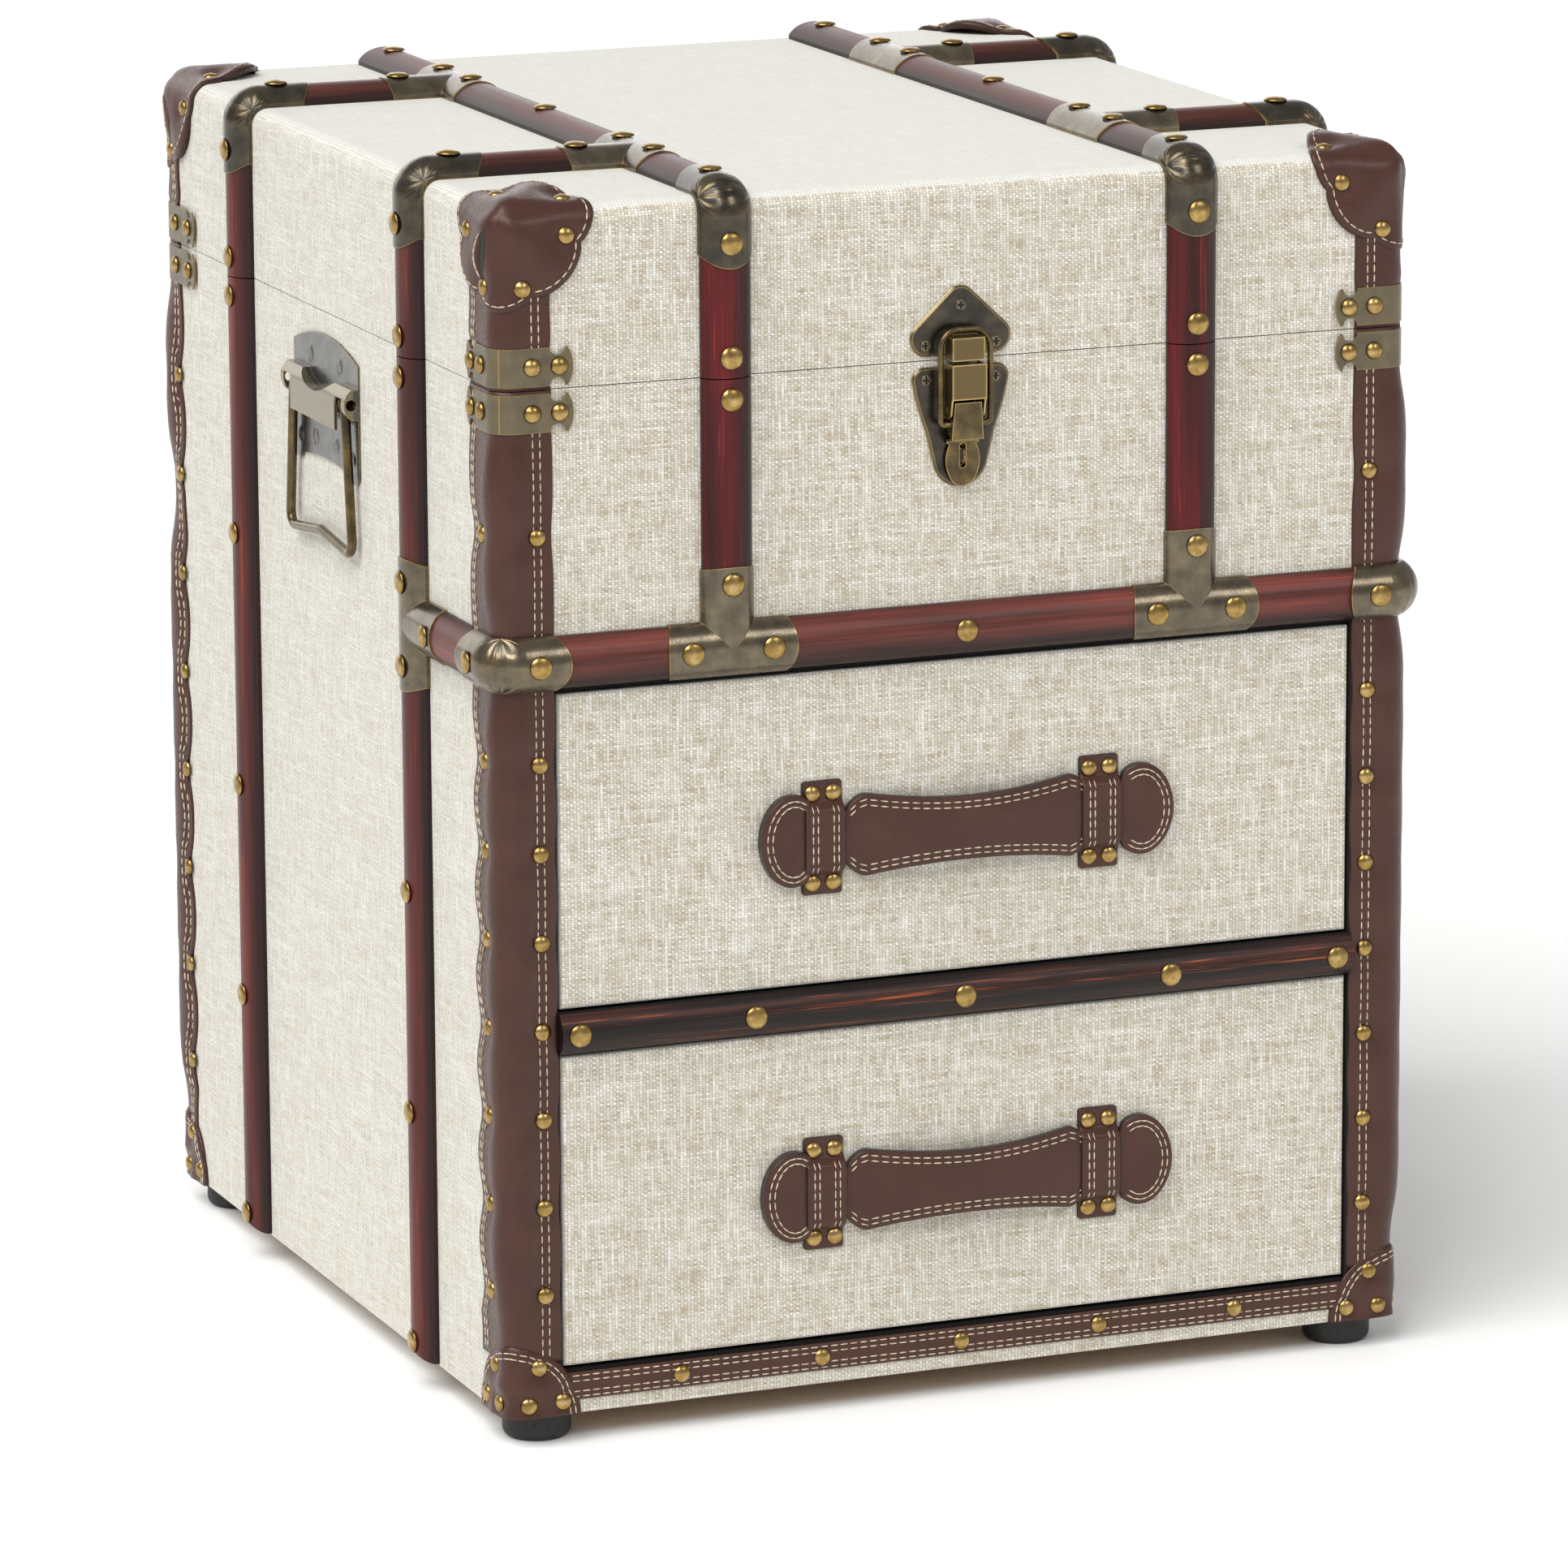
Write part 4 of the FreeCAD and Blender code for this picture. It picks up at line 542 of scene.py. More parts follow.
def rubbed_metal(name, stops, wear, wear_width, roughness, second=None, folds=None):
    """Antiqued metal: a dark uneven patina that is rubbed back to brass along its edges and bends."""
    # The eye sees cloudy bronze with a satin gloss, and thin bright lines where hands and cloth wear it.
    # second is a colour and a function that gives its share of each place; folds is a function for a relief.
    material, tree, shader = new_material(name)
    coordinates = add(tree, "TexCoord").outputs["Object"]
    cloud = add(tree, "TexNoise", {
        "Vector": coordinates, "Scale": per_metre(9.091), "Detail": 4.0, "Roughness": 0.55})
    fleck = add(tree, "TexNoise", {"Vector": coordinates, "Scale": per_metre(1.111), "Detail": 2.0})
    patina = add(tree, "ValToRGB", {"Fac": cloud}, stops)
    if second:
        colour_there, share_there = second
        patina = add(tree, "Mix", {
            "A": patina, "B": linear(colour_there), "Factor": share_there(tree, coordinates)},
            data_type="RGBA")
    true_normal = add(tree, "NewGeometry").outputs["Normal"]
    softened = add(tree, "Bevel", {"Radius": wear_width * MM}, samples=8)
    same = add(tree, "VectorMath", {0: softened, 1: true_normal}, operation="DOT_PRODUCT")
    ridge = add(tree, "MapRange", {
        "Value": same, "From Min": 0.985, "From Max": 0.88, "To Min": 0.0, "To Max": 1.0})
    patchy = add(tree, "MapRange", {"Value": cloud, "From Min": 0.30, "From Max": 0.50, "To Min": 0.6})
    share = add(tree, "Math", {0: ridge, 1: patchy}, operation="MULTIPLY")
    rubbed = add(tree, "Mix", {"A": patina, "B": linear(wear), "Factor": share}, data_type="RGBA")
    gloss = add(tree, "MapRange", {
        "Value": fleck, "From Min": 0.3, "From Max": 0.7,
        "To Min": roughness - 0.06, "To Max": roughness + 0.08})
    bump = add(tree, "Bump", {"Height": cloud, "Strength": 0.04, "Distance": 0.0004})
    if folds:
        bump = add(tree, "Bump", {
            "Height": folds(tree, coordinates), "Normal": bump, "Strength": 0.3, "Distance": 0.0012})
    link(tree, shader, {
        "Base Color": rubbed, "Metallic": 0.85, "Roughness": gloss, "Normal": bump, "Coat Weight": 0.4,
        "Coat Roughness": 0.22})
    return material


def at_the_fold(tree, coordinates):
    """Share that is 1 in a thin line down the middle of an upright edge, where a strap is folded."""
    near = add(tree, "VectorMath", {0: coordinates, 1: (0, (front + back) / 2 * MM, 0)}, operation="SUBTRACT")
    size = add(tree, "VectorMath", {0: near}, operation="ABSOLUTE")
    place = add(tree, "SeparateXYZ", {0: size}).outputs
    ahead = add(tree, "Math", {0: place["Y"], 1: place["X"]}, operation="SUBTRACT")
    off = add(tree, "Math", {
        0: ahead, 1: ((back - front) / 2 - half_width) * MM, 2: 0.0005}, operation="COMPARE")
    return off


def nearest_faces(tree, coordinates):
    """Distances to the two nearest of the box's side, front or back, and top: the nearest one first."""
    centre = (0, (front + back) / 2 * MM, 0)
    half = (half_width * MM, (back - front) / 2 * MM, lid_top * MM)
    near = add(tree, "VectorMath", {0: coordinates, 1: centre}, operation="SUBTRACT")
    size = add(tree, "VectorMath", {0: near}, operation="ABSOLUTE")
    away = add(tree, "VectorMath", {0: size, 1: half}, operation="SUBTRACT")
    away = add(tree, "VectorMath", {0: away}, operation="ABSOLUTE")
    x, y, z = add(tree, "SeparateXYZ", {0: away}).outputs
    low = add(tree, "Math", {0: x, 1: y}, operation="MINIMUM")
    high = add(tree, "Math", {0: x, 1: y}, operation="MAXIMUM")
    first = add(tree, "Math", {0: low, 1: z}, operation="MINIMUM")
    high = add(tree, "Math", {0: high, 1: z}, operation="MINIMUM")
    return first, add(tree, "Math", {0: low, 1: high}, operation="MAXIMUM")


def bend_folds(tree, coordinates):
    """Relief of a few small creases that fan out from the inner corner of a stamped bend."""
    first, second = nearest_faces(tree, coordinates)
    fan = add(tree, "Math", {0: first, 1: second}, operation="DIVIDE")
    turn = add(tree, "Math", {0: fan, 1: 2.5 * HALF_TURN}, operation="MULTIPLY")
    wave = add(tree, "Math", {0: turn}, operation="COSINE")
    share = add(tree, "MapRange", {"Value": second, "From Min": 0.009, "From Max": 0.003})
    return add(tree, "Math", {0: wave, 1: share}, operation="MULTIPLY")


def at_the_bend(tree, coordinates):
    """Patchy share that is most near an edge of the box, where a bracket is bent and rubbed."""
    _, second = nearest_faces(tree, coordinates)
    share = add(tree, "MapRange", {"Value": second, "From Min": 0.014, "From Max": 0.006})
    rub = add(tree, "TexNoise", {
        "Vector": coordinates, "Scale": per_metre(6.667), "Detail": 4.0, "Roughness": 0.6})
    patchy = add(tree, "MapRange", {"Value": rub, "From Min": 0.45, "From Max": 0.65, "To Max": 0.22})
    return add(tree, "Math", {0: share, 1: patchy}, operation="MULTIPLY")


def shade_in_the_slot(tree, coordinates):
    """Share of a screw head that lies in its cross, from the point value slot: where painted shade darkens
    it.
    """
    return add(tree, "Attribute", attribute_name="slot").outputs["Fac"]


def standing_past(axis, limit):
    """A share function that is 1 where a fitting stands further out along an axis than limit millimetres."""
    def share(tree, coordinates):
        size = add(tree, "VectorMath", {0: coordinates}, operation="ABSOLUTE")
        place = add(tree, "SeparateXYZ", {0: size}).outputs[axis]
        return add(tree, "Math", {0: place, 1: limit * MM}, operation="GREATER_THAN")
    return share


def stud_brass():
    """Pressed brass nail heads: bright on the crown, darkened by painted shade towards the rim."""
    # The eye sees small gold domes with a soft highlight and a dark ring of painted shade where they meet the
    # leather.
    material, tree, shader = new_material("aged_stud_brass")
    coordinates = add(tree, "TexCoord").outputs["Object"]
    cloud = add(tree, "TexNoise", {"Vector": coordinates, "Scale": per_metre(3.846), "Detail": 3.0})
    brass = add(tree, "ValToRGB", {"Fac": cloud}, [(0.3, "#917643"), (0.5, "#ab8d55"), (0.7, "#c4a871")])
    rim = add(tree, "Attribute", attribute_name="rim").outputs["Fac"]
    # Painted shade: the point value rim darkens each dome's foot, where it meets the leather.
    aged = add(tree, "Mix", {"A": brass, "B": linear("#4a3921"), "Factor": rim}, data_type="RGBA")
    bump = add(tree, "Bump", {"Height": cloud, "Strength": 0.2, "Distance": 0.0003})
    link(tree, shader, {"Base Color": aged, "Metallic": 1.0, "Roughness": 0.28, "Normal": bump})
    return material


def plain_wood():
    """Planed softwood of the hidden drawer boxes and frames: pale, with straight brown growth lines."""
    # The eye sees honey-coloured boards with straight lines, lengthwise on the backs and on the sides.
    material, tree, shader = new_material("planed_softwood")
    coordinates = add(tree, "TexCoord").outputs
    facing = add(tree, "VectorMath", {0: coordinates["Normal"]}, operation="ABSOLUTE")
    sideways = add(tree, "SeparateXYZ", {0: facing}).outputs["X"]
    turned = add(tree, "Math", {0: sideways, 1: 0.7}, operation="GREATER_THAN")
    place = add(tree, "SeparateXYZ", {0: coordinates["Object"]}).outputs
    along = add(tree, "Mix", {"Factor": turned, "A": place["X"], "B": place["Y"]})
    across = add(tree, "Mix", {"Factor": turned, "A": place["Y"], "B": place["X"]})
    seat = add(tree, "CombineXYZ", {0: along, 1: across, 2: place["Z"]})
    fine = add(tree, "Mapping", {"Vector": seat, "Scale": (per_metre(120), per_metre(3), per_metre(3))})
    lines = add(tree, "TexNoise", {"Vector": fine, "Scale": 1.0, "Detail": 4.0})
    wood = add(tree, "ValToRGB", {"Fac": lines}, [(0.3, "#a97f50"), (0.5, "#c49a68"), (0.7, "#d6b27f")])
    bump = add(tree, "Bump", {"Height": lines, "Strength": 0.2, "Distance": 0.0003})
    link(tree, shader, {"Base Color": wood, "Roughness": 0.6, "Normal": bump})
    return material


def black_rubber():
    """Moulded rubber feet: charcoal, matt, with a faint mould texture."""
    material, tree, shader = new_material("moulded_rubber")
    coordinates = add(tree, "TexCoord").outputs["Object"]
    mottle = add(tree, "TexNoise", {"Vector": coordinates, "Scale": per_metre(3.333), "Detail": 2.0})
    rubber = add(tree, "ValToRGB", {"Fac": mottle}, [(0.3, "#1c1b1a"), (0.7, "#2b2a29")])
    link(tree, shader, {"Base Color": rubber, "Roughness": 0.6})
    return material


def material_named(name, maker, *settings):
    """A material that is made once and then shared."""
    return bpy.data.materials.get(name) or maker(*settings)


# Colour ramps of the woods and the metals, from dark to pale
# All the battens but the drawer rail are of one stain: the three ramps after the first are lit copies of it,
# paler and browner for the painted light and sheen on the rails, the sides and the top.
RED = [(0.32, "#260a0b"), (0.46, "#470e11"), (0.58, "#5c1215"), (0.72, "#75201c")]
RAIL_LIT_RED = [(0.32, "#3a1d19"), (0.48, "#5e302a"), (0.62, "#743b34"), (0.75, "#875044")]
SIDE_LIT_RED = [(0.32, "#2f1512"), (0.48, "#542420"), (0.62, "#6a302a"), (0.75, "#7c4436")]
TOP_LIT_BROWN = [(0.32, "#331a16"), (0.50, "#50271f"), (0.66, "#66362c")]
BLACK = [(0.42, "#191412"), (0.54, "#2b1d19"), (0.62, "#4a251b"), (0.72, "#703522")]
# The brackets are of one bronze: the next ramp is drawn darker for painted shade on the elbows' fronts, and
# the one after paler for painted sheen on the tees and the corner brackets.
SHADED_BRACKET_METAL = [(0.3, "#3a352d"), (0.5, "#484237"), (0.7, "#5b5242")]
LIT_BRACKET_METAL = [(0.3, "#564e40"), (0.5, "#685e4c"), (0.7, "#7d7059")]
OLIVE = [(0.3, "#63594a"), (0.5, "#70664f"), (0.7, "#7b6e52")]
CHARCOAL = [(0.3, "#2c2925"), (0.5, "#3e3931"), (0.7, "#54493a")]
GOLD_BROWN = [(0.3, "#453820"), (0.5, "#5e4e2f"), (0.7, "#7a663d")]
DARK_STEEL = [(0.3, "#4b4b49"), (0.5, "#5a5a57"), (0.7, "#6a6964")]
STEEL = [(0.3, "#6d6c69"), (0.5, "#83827e"), (0.7, "#9a9890")]


def leather_material():
    """The leather of the strips, caps and band."""
    return material_named("waxed_cowhide", red_leather, "waxed_cowhide", "#2a1814")


# Operators


class TRUNK_OT_stage(bpy.types.Operator):
    """Pale floor, soft studio light and the camera at the photograph's angle"""

    bl_idname = "trunk.stage"
    bl_label = "Stage"

    def execute(self, context):
        scene = context.scene
        scene.view_settings.view_transform = "Standard"
        self.make_floor(scene)
        self.make_lights(scene)
        self.make_camera(scene)
        return {"FINISHED"}

    def make_floor(self, scene):
        """A flat disc far wider than the view: rings of points by radius and angle."""
        around = np.arange(48) / 48 * 2 * HALF_TURN
        radius = np.array([0.0, 2.0, 8.0, 40.0])[:, None]
        points = np.stack(np.broadcast_arrays(radius * np.cos(around), radius * np.sin(around), 0.0), -1)
        mesh = bpy.data.meshes.new("floor")
        faces = grid_faces(*points.shape[:2], closed=True)[:, ::-1]
        mesh.from_pydata(points.reshape(-1, 3), [], faces.tolist())
        join_points(mesh, 1e-6)
        material, tree, shader = new_material("matt_floor")
        link(tree, shader, {
            "Base Color": (*scene.trunk_colours.floor, 1), "Roughness": 0.9, "Specular IOR Level": 0.1})
        mesh.materials.append(material)
        floor = bpy.data.objects.new("floor", mesh)
        scene.collection.objects.link(floor)

    def make_lights(self, scene):
        """White surroundings, a soft sun high on the left, two soft boxes in front, a white wall behind."""
        world = bpy.data.worlds.new("studio")
        scene.world = world
        world.use_nodes = True
        surround = world.node_tree.nodes["Background"]
        surround.inputs["Color"].default_value = (1, 1, 1, 1)
        surround.inputs["Strength"].default_value = 0.36
        sun = bpy.data.lights.new("sky", "SUN")
        sun.energy, sun.angle = 2.45, math.radians(45)
        placed = [(sun, (-1.7, -0.7, 2.8))]
        for name, wide, tall, watts, place in (
                ("left_box", 0.8, 0.8, 20.0, (-1.2, -2.6, 2.4)),
                ("right_box", 1.0, 1.0, 15.0, (1.3, -2.6, 2.4)),
                ("white_wall", 12.0, 5.2, 260.0, (0.0, 9.0, 3.2))):
            box = bpy.data.lights.new(name, "AREA")
            box.shape, box.size, box.size_y, box.energy = "RECTANGLE", wide, tall, watts
            placed.append((box, place))
        for data, place in placed:
            light = bpy.data.objects.new(data.name, data)
            back_axis = np.array(place) - LIGHT_TARGET
            back_axis /= np.linalg.norm(back_axis)
            right = np.cross([0, 0, 1], back_axis)
            right /= np.linalg.norm(right)
            light.matrix_world = self.pose(right, np.cross(back_axis, right), back_axis, place)
            scene.collection.objects.link(light)

    @staticmethod
    def pose(right, up, backward, place):
        """Matrix of a camera or light from its three axes and its place."""
        matrix = np.eye(4)
        matrix[:3, :3] = np.stack([right, up, backward], -1)
        matrix[:3, 3] = place
        return Matrix(matrix.tolist())

    def make_camera(self, scene):
        """A long lens, turned about the upright, then tilted down and rolled a little."""
        data = bpy.data.cameras.new("camera")
        data.sensor_width = 36.0
        data.lens = CAMERA_LENS
        turn, tilt, roll = (math.radians(angle) for angle in (CAMERA_TURN, CAMERA_TILT, CAMERA_ROLL))
        level = np.array([math.cos(turn), -math.sin(turn), 0.0])
        ahead = np.array([math.sin(turn) * math.cos(tilt), math.cos(turn) * math.cos(tilt), math.sin(tilt)])
        upright = np.cross(level, ahead)
        right = math.cos(roll) * level + math.sin(roll) * upright
        up = math.cos(roll) * upright - math.sin(roll) * level
        camera = bpy.data.objects.new("camera", data)
        camera.matrix_world = self.pose(right, up, -ahead, CAMERA_PLACE)
        scene.collection.objects.link(camera)
        scene.camera = camera


class TRUNK_OT_linen(bpy.types.Operator):
    """Linen over the panels and drawer fronts, plain wood inside"""

    bl_idname = "trunk.linen"
    bl_label = "Linen and boards"

    def execute(self, context):
        finish_nodes((
            "side_panel_left", "side_panel_right", "back_panel", "lid_top", "lid_front", "lid_back",
            "lid_sides", "upper_drawer_front", "lower_drawer_front"), woven_linen("woven_linen"))
        rail, band = node_box("front_rail"), node_box("leather_bottom_band")
        # The board below the front rail, above the band and round the drawers is drawn black: painted shade
        # in the gaps.
        finish_nodes(("front_panel_upper",), woven_linen("woven_linen_over_rail", low=rail[0][2]))
        finish_nodes(("bottom_rail",), woven_linen("woven_linen_under_band", high=band[1][2]))
        finish_nodes(("front_stiles", "drawer_rail_backing"), gap_shade_cloth())
        finish_nodes((
            "base_panel", "drawer_shelf", "compartment_floor", "drawer_guides", "upper_drawer_box",
            "lower_drawer_box"), plain_wood())
        finish_nodes(("feet",), material_named("moulded_rubber", black_rubber))
        return {"FINISHED"}


class TRUNK_OT_battens(bpy.types.Operator):
    """Stained wood on the half-round battens, with the grain along each"""

    bl_idname = "trunk.battens"
    bl_label = "Battens"

    def execute(self, context):
        # The flanks of each batten are painted dark as they turn from outward, which on the front slats and
        # the front rail leans towards the light: painted shade.
        for names, along, outward, stops, streak, shaded_flanks in (
                (("front_slats_lower", "lid_front_slats"), "Z", (-0.42, -0.91, 0), RED, "#a8382b",
                 (0.50, 0.94)),
                (("side_slats_lower", "lid_side_slats"), "Z", (1, 0, 0), SIDE_LIT_RED, "#96402e", (0.60, 0.92)),
                (("front_rail",), "X", (0, -0.92, 0.39), RAIL_LIT_RED, "#9c4030", (0.45, 0.86)),
                (("side_rails",), "Y", (1, 0, 0), RAIL_LIT_RED, "#9c4030", (0.50, 0.86)),
                (("lid_long_slats",), "Y", (0, 0, 1), TOP_LIT_BROWN, "#6a3a2c", (0.55, 0.92)),
                (("lid_cross_slats",), "X", (0, 0, 1), TOP_LIT_BROWN, "#7a3c30", (0.55, 0.92)),
                (("drawer_rail",), "X", (0, -1, 0), BLACK, "#9c5230", (0.50, 0.90))):
            name = "waxed_wood_" + names[0]
            finish_nodes(names, polished_mahogany(name, along, outward, stops, streak, shaded_flanks))
        return {"FINISHED"}


def nearness(height, levels, spread):
    """How near heights are to the nearest of some levels: a bell curve of the given spread."""
    gap = np.abs(np.asarray(height)[..., None] - np.asarray(levels)).min(-1)
    return np.exp(-(gap / spread) ** 2)


# Leather strips, in millimetres from the sharp edge and by the box's front and rear end: the studs' line,
# the legs on the face and the side, the straight seams, the seams inside the curved edge, the studs' heights
STUD_LINE = 17.6
STRIP_LEGS = {-1: (25.5, 34.0), 1: (40.0, 21.0)}
STRIP_SEAMS = {-1: (16.0, 19.4), 1: (33.4, 36.6)}
STRIP_EDGE_SEAMS = {-1: (5.8, 8.6), 1: (3.6, 6.2)}
STRIP_STUDS = {-1: np.concatenate([[424.5], np.linspace(320.0, 71.6, 7)]), 1: np.linspace(426.0, 75.9, 8)}


class CornerStrip:
    """The leather strip on one upright edge, as a surface of distance along the linen and height."""

    def __init__(self, side, end, low, high, levels, flats):
        sizes = bpy.context.scene.trunk_sizes
        self.side, self.end, self.low, self.high = side, end, low, high
        self.face_leg, self.side_leg = STRIP_LEGS[end]
        self.levels, self.flats = levels, flats
        self.thick, self.puff, self.scallop = sizes.leather / MM, sizes.puff / MM, sizes.scallop / MM

    def edges(self, height):
        """Side and face edge at a height: they swing out between studs, the side one most."""
        held = np.maximum(nearness(height, self.levels, 12.0), 0.5 * nearness(height, self.flats, 16.0))
        swing = self.scallop * (0.32 - held)
        return -leg(self.side_leg) - swing, leg(self.face_leg) + 0.15 * swing

    def lift(self, along, height):
        """Thickness: rounded at the long edges, swollen round the corner, pressed under studs and metal."""
        left, right = self.edges(height)
        to_edge = np.minimum(right - along, along - left)
        flat = nearness(height, self.flats, 20.0)
        stud = nearness(height, self.levels, 8.0) * np.exp(-((np.abs(along) - leg(STUD_LINE)) / 8.0) ** 2)
        cushion = np.sqrt(np.clip(1 - ((along + 1.5) / 14.0) ** 2, 0, 1))
        swell = self.puff * cushion * (1 - flat) + 0.7 * np.clip(to_edge / 8.0, 0, 1)
        return self.thick * (0.25 + 0.75 * round_edge(to_edge, 1.3)) + swell * (1 - np.maximum(flat, stud))

    def points(self, along, height, lift):
        """Points that stand lift off the leather."""
        return corner_walk(self.side, self.end, along, height, self.lift(along, height) + lift)

    def skin(self):
        """The strip's surface, closer together at its long edges, and how dark each point's edge is."""
        rows = np.linspace(self.low, self.high, int((self.high - self.low) / 3.0))[:, None]
        rim = np.array([0.0, 0.35, 0.9])
        reach = leg(self.face_leg) + leg(self.side_leg)
        inner = np.linspace(1.6 / reach, 1 - 1.6 / reach, 25)
        share = np.concatenate([rim / reach, inner, 1 - rim[::-1] / reach])
        left, right = self.edges(rows)
        along = left + (right - left) * share
        height = rows + 0 * along
        top = corner_walk(self.side, self.end, along, height, self.lift(along, height))
        under = corner_walk(self.side, self.end, along, height, -0.1 + 0 * along)
        edge = np.clip(1 - np.minimum(right - along, along - left) / 1.0, 0, 1) * 0.6
        points, faces = pillow(top, under)
        return (points, faces), np.concatenate([edge.ravel(), edge.ravel()])

    def stitching(self):
        """Straight rows of stitches on the face and rows that follow the curved edge on the side."""
        sizes = bpy.context.scene.trunk_sizes
        spots = spaced(self.low + 2, self.high - 2, sizes.stitch_pitch / MM)
        rows = [
            stitch_row(
                lambda height, lift, line=line: self.points(line + 0 * height, height, lift), spots, 0.5)
            for line in map(leg, STRIP_SEAMS[self.end])]
        rows += [
            stitch_row(
                lambda height, lift, line=line: self.points(self.edges(height)[0] + line, height, lift),
                spots, 0.5, 1.6)
            for line in STRIP_EDGE_SEAMS[self.end]]
        return rows


# Leather caps: their radius, and each stud's reach from the sharp corner and turn round it in degrees
LID_CAP_RADIUS, FOOT_CAP_RADIUS = 45.5, 34.0
LID_STUDS = [(38.0, 18.4), (35.5, 68.5), (38.0, 108.4), (35.5, 158.5), (35.5, 201.5), (38.0, 251.6)]
FOOT_STUDS = [(27.3, 59.2), (10.8, 33.7), (26.3, 14.3), (27.3, 120.8), (10.8, 146.3), (26.3, 165.7)]


class CornerPatch:
    """A leather cap over one corner of the box, as a surface of polar reach and turn."""

    def __init__(self, side, end, way):
        sizes = bpy.context.scene.trunk_sizes
        self.side, self.end, self.way = side, end, way
        self.radius = LID_CAP_RADIUS if way > 0 else FOOT_CAP_RADIUS
        self.thick = 1.6 * sizes.leather / MM
        self.puff = sizes.patch_puff / MM * (1.0 if way > 0 else 0.9)
        self.studs = LID_STUDS if way > 0 else FOOT_STUDS
        self.span = 1.5 * HALF_TURN if way > 0 else HALF_TURN

    def rim(self, turn):
        """Radius of the cut edge: lobes that are drawn in at the studs, two to a face."""
        lobes = np.abs(np.sin(4 * (turn - HALF_TURN / 8)))
        return self.radius * (1 + (0.075 if self.way > 0 else 0.03) * (lobes ** 0.7 - 0.6))

    def faces_turn(self, turn):
        """Turn on the box's faces: bottom caps run from the side face round the upright edge to the front."""
        return turn if self.way > 0 else np.where(turn < QUARTER_TURN, turn + HALF_TURN, turn - QUARTER_TURN)

    def lift(self, reach, turn):
        """Thickness: rounded at the rim, swollen inside it, pressed down round each stud."""
        inset = self.rim(turn) - reach
        held = np.max([
            np.exp(-((reach - far) ** 2 + (reach * (turn - math.radians(angle))) ** 2) / 7.0 ** 2)
            for far, angle in self.studs], axis=0)
        swell = self.puff * round_edge(inset - 1.0, 16.0)
        if self.way > 0:
            swell = swell * np.sin(2 * turn) ** 2 * np.clip(reach / 14.0, 0, 1) ** 2
            slope = np.clip(reach / self.rim(turn), 0, 1) ** 1.5
            for middle, rise in ((0.75 * HALF_TURN, 4.6), (1.26 * HALF_TURN, 1.8), (0.25 * HALF_TURN, 0.8)):
                swell = swell + rise * np.exp(-((turn - middle) / 0.40) ** 2) * slope
        return self.thick * (0.65 + 0.35 * round_edge(inset, 1.5)) * (1 - 0.3 * held) + swell * (1 - held)

    def points(self, reach, turn, lift):
        """Points that stand lift off the leather."""
        return corner_cap(
            self.side, self.end, self.way, reach, self.faces_turn(turn), self.lift(reach, turn) + lift)

    def skin(self):
        """The cap's surface, closer together at its rim, and how dark each point's edge is."""
        whole_turn = self.way > 0
        turn = np.linspace(0, self.span, 108 if whole_turn else 73, endpoint=not whole_turn)[None, :]
        share = np.concatenate([np.linspace(0, 0.9, 21), [0.94, 0.965, 0.985, 1.0]])[:, None]
        reach = share * self.rim(turn)
        whole = turn + 0 * reach
        top = self.points(reach, whole, 0.0)
        sheet = np.maximum(self.lift(reach, whole) - 3.0, -0.1)
        under = corner_cap(self.side, self.end, self.way, reach, self.faces_turn(whole), sheet)
        edge = np.clip((share - 0.97) / 0.03, 0, 1) * 0.6 + 0 * reach
        points, faces = pillow(top, under, whole_turn)
        return (points, faces), np.concatenate([edge.ravel(), edge.ravel()])

    def stitching(self):
        """Rows of stitches inside the rim: one on a lid cap, two on a bottom one."""
        pitch = bpy.context.scene.trunk_sizes.stitch_pitch / MM
        turns = spaced(0.0, self.span, pitch / self.radius)
        return [stitch_row(
            lambda turn, lift, inset=inset: self.points(self.rim(turn) - inset, turn, lift), turns, 0.01)
            for inset in ((3.2,) if self.way > 0 else (2.9, 5.4))]

    def on_side(self, inward, down, lift):
        """Points of the side face of a lid cap by distance from its upright edge and from its top."""
        turn = np.arctan2(-down, -inward) + 2 * HALF_TURN
        return self.points(np.hypot(inward, down), turn, lift)

    def dart(self):
        """The fold beside the upright edge: a leaf-shaped black sheet of painted shade in its slit, a flap
        that rises to it, stitches.
        """
        top, low = 9.0, 34.0

        def leaf(down):
            return np.sin(np.clip((down - top) / (low - top), 0, 1) * HALF_TURN) ** 0.8

        def line(down):
            return 7.0 + 5.5 * (down - top) / (low - top)

        def seam(down, lift):
            return self.on_side(line(down) + 4.6 * leaf(down), down, 1.0 * leaf(down) + lift)

        down = np.linspace(top, low, 30)[:, None]
        share = np.linspace(0, 1, 9)[None, :]
        slit = line(down) + 2.3 * leaf(down) * (2 * share - 1)
        flap = line(down) + 2.0 * leaf(down) + 7.0 * leaf(down) * share
        rise = 0.15 + 1.3 * leaf(down) * (1 - share) ** 0.6 * round_edge(share, 0.12)
        # dark is the black sheet of painted shade in the slit; hem is the flap.
        dark, hem = (
            pillow(*(self.on_side(inward, down + 0 * inward, stand) for stand in (lift, -0.3 + 0 * lift)))
            for inward, lift in ((slit, 0.15 + 0 * slit), (flap, rise)))
        return dark, hem, stitch_row(seam, spaced(top + 2, low - 2, 3.6), 0.3, 1.8)


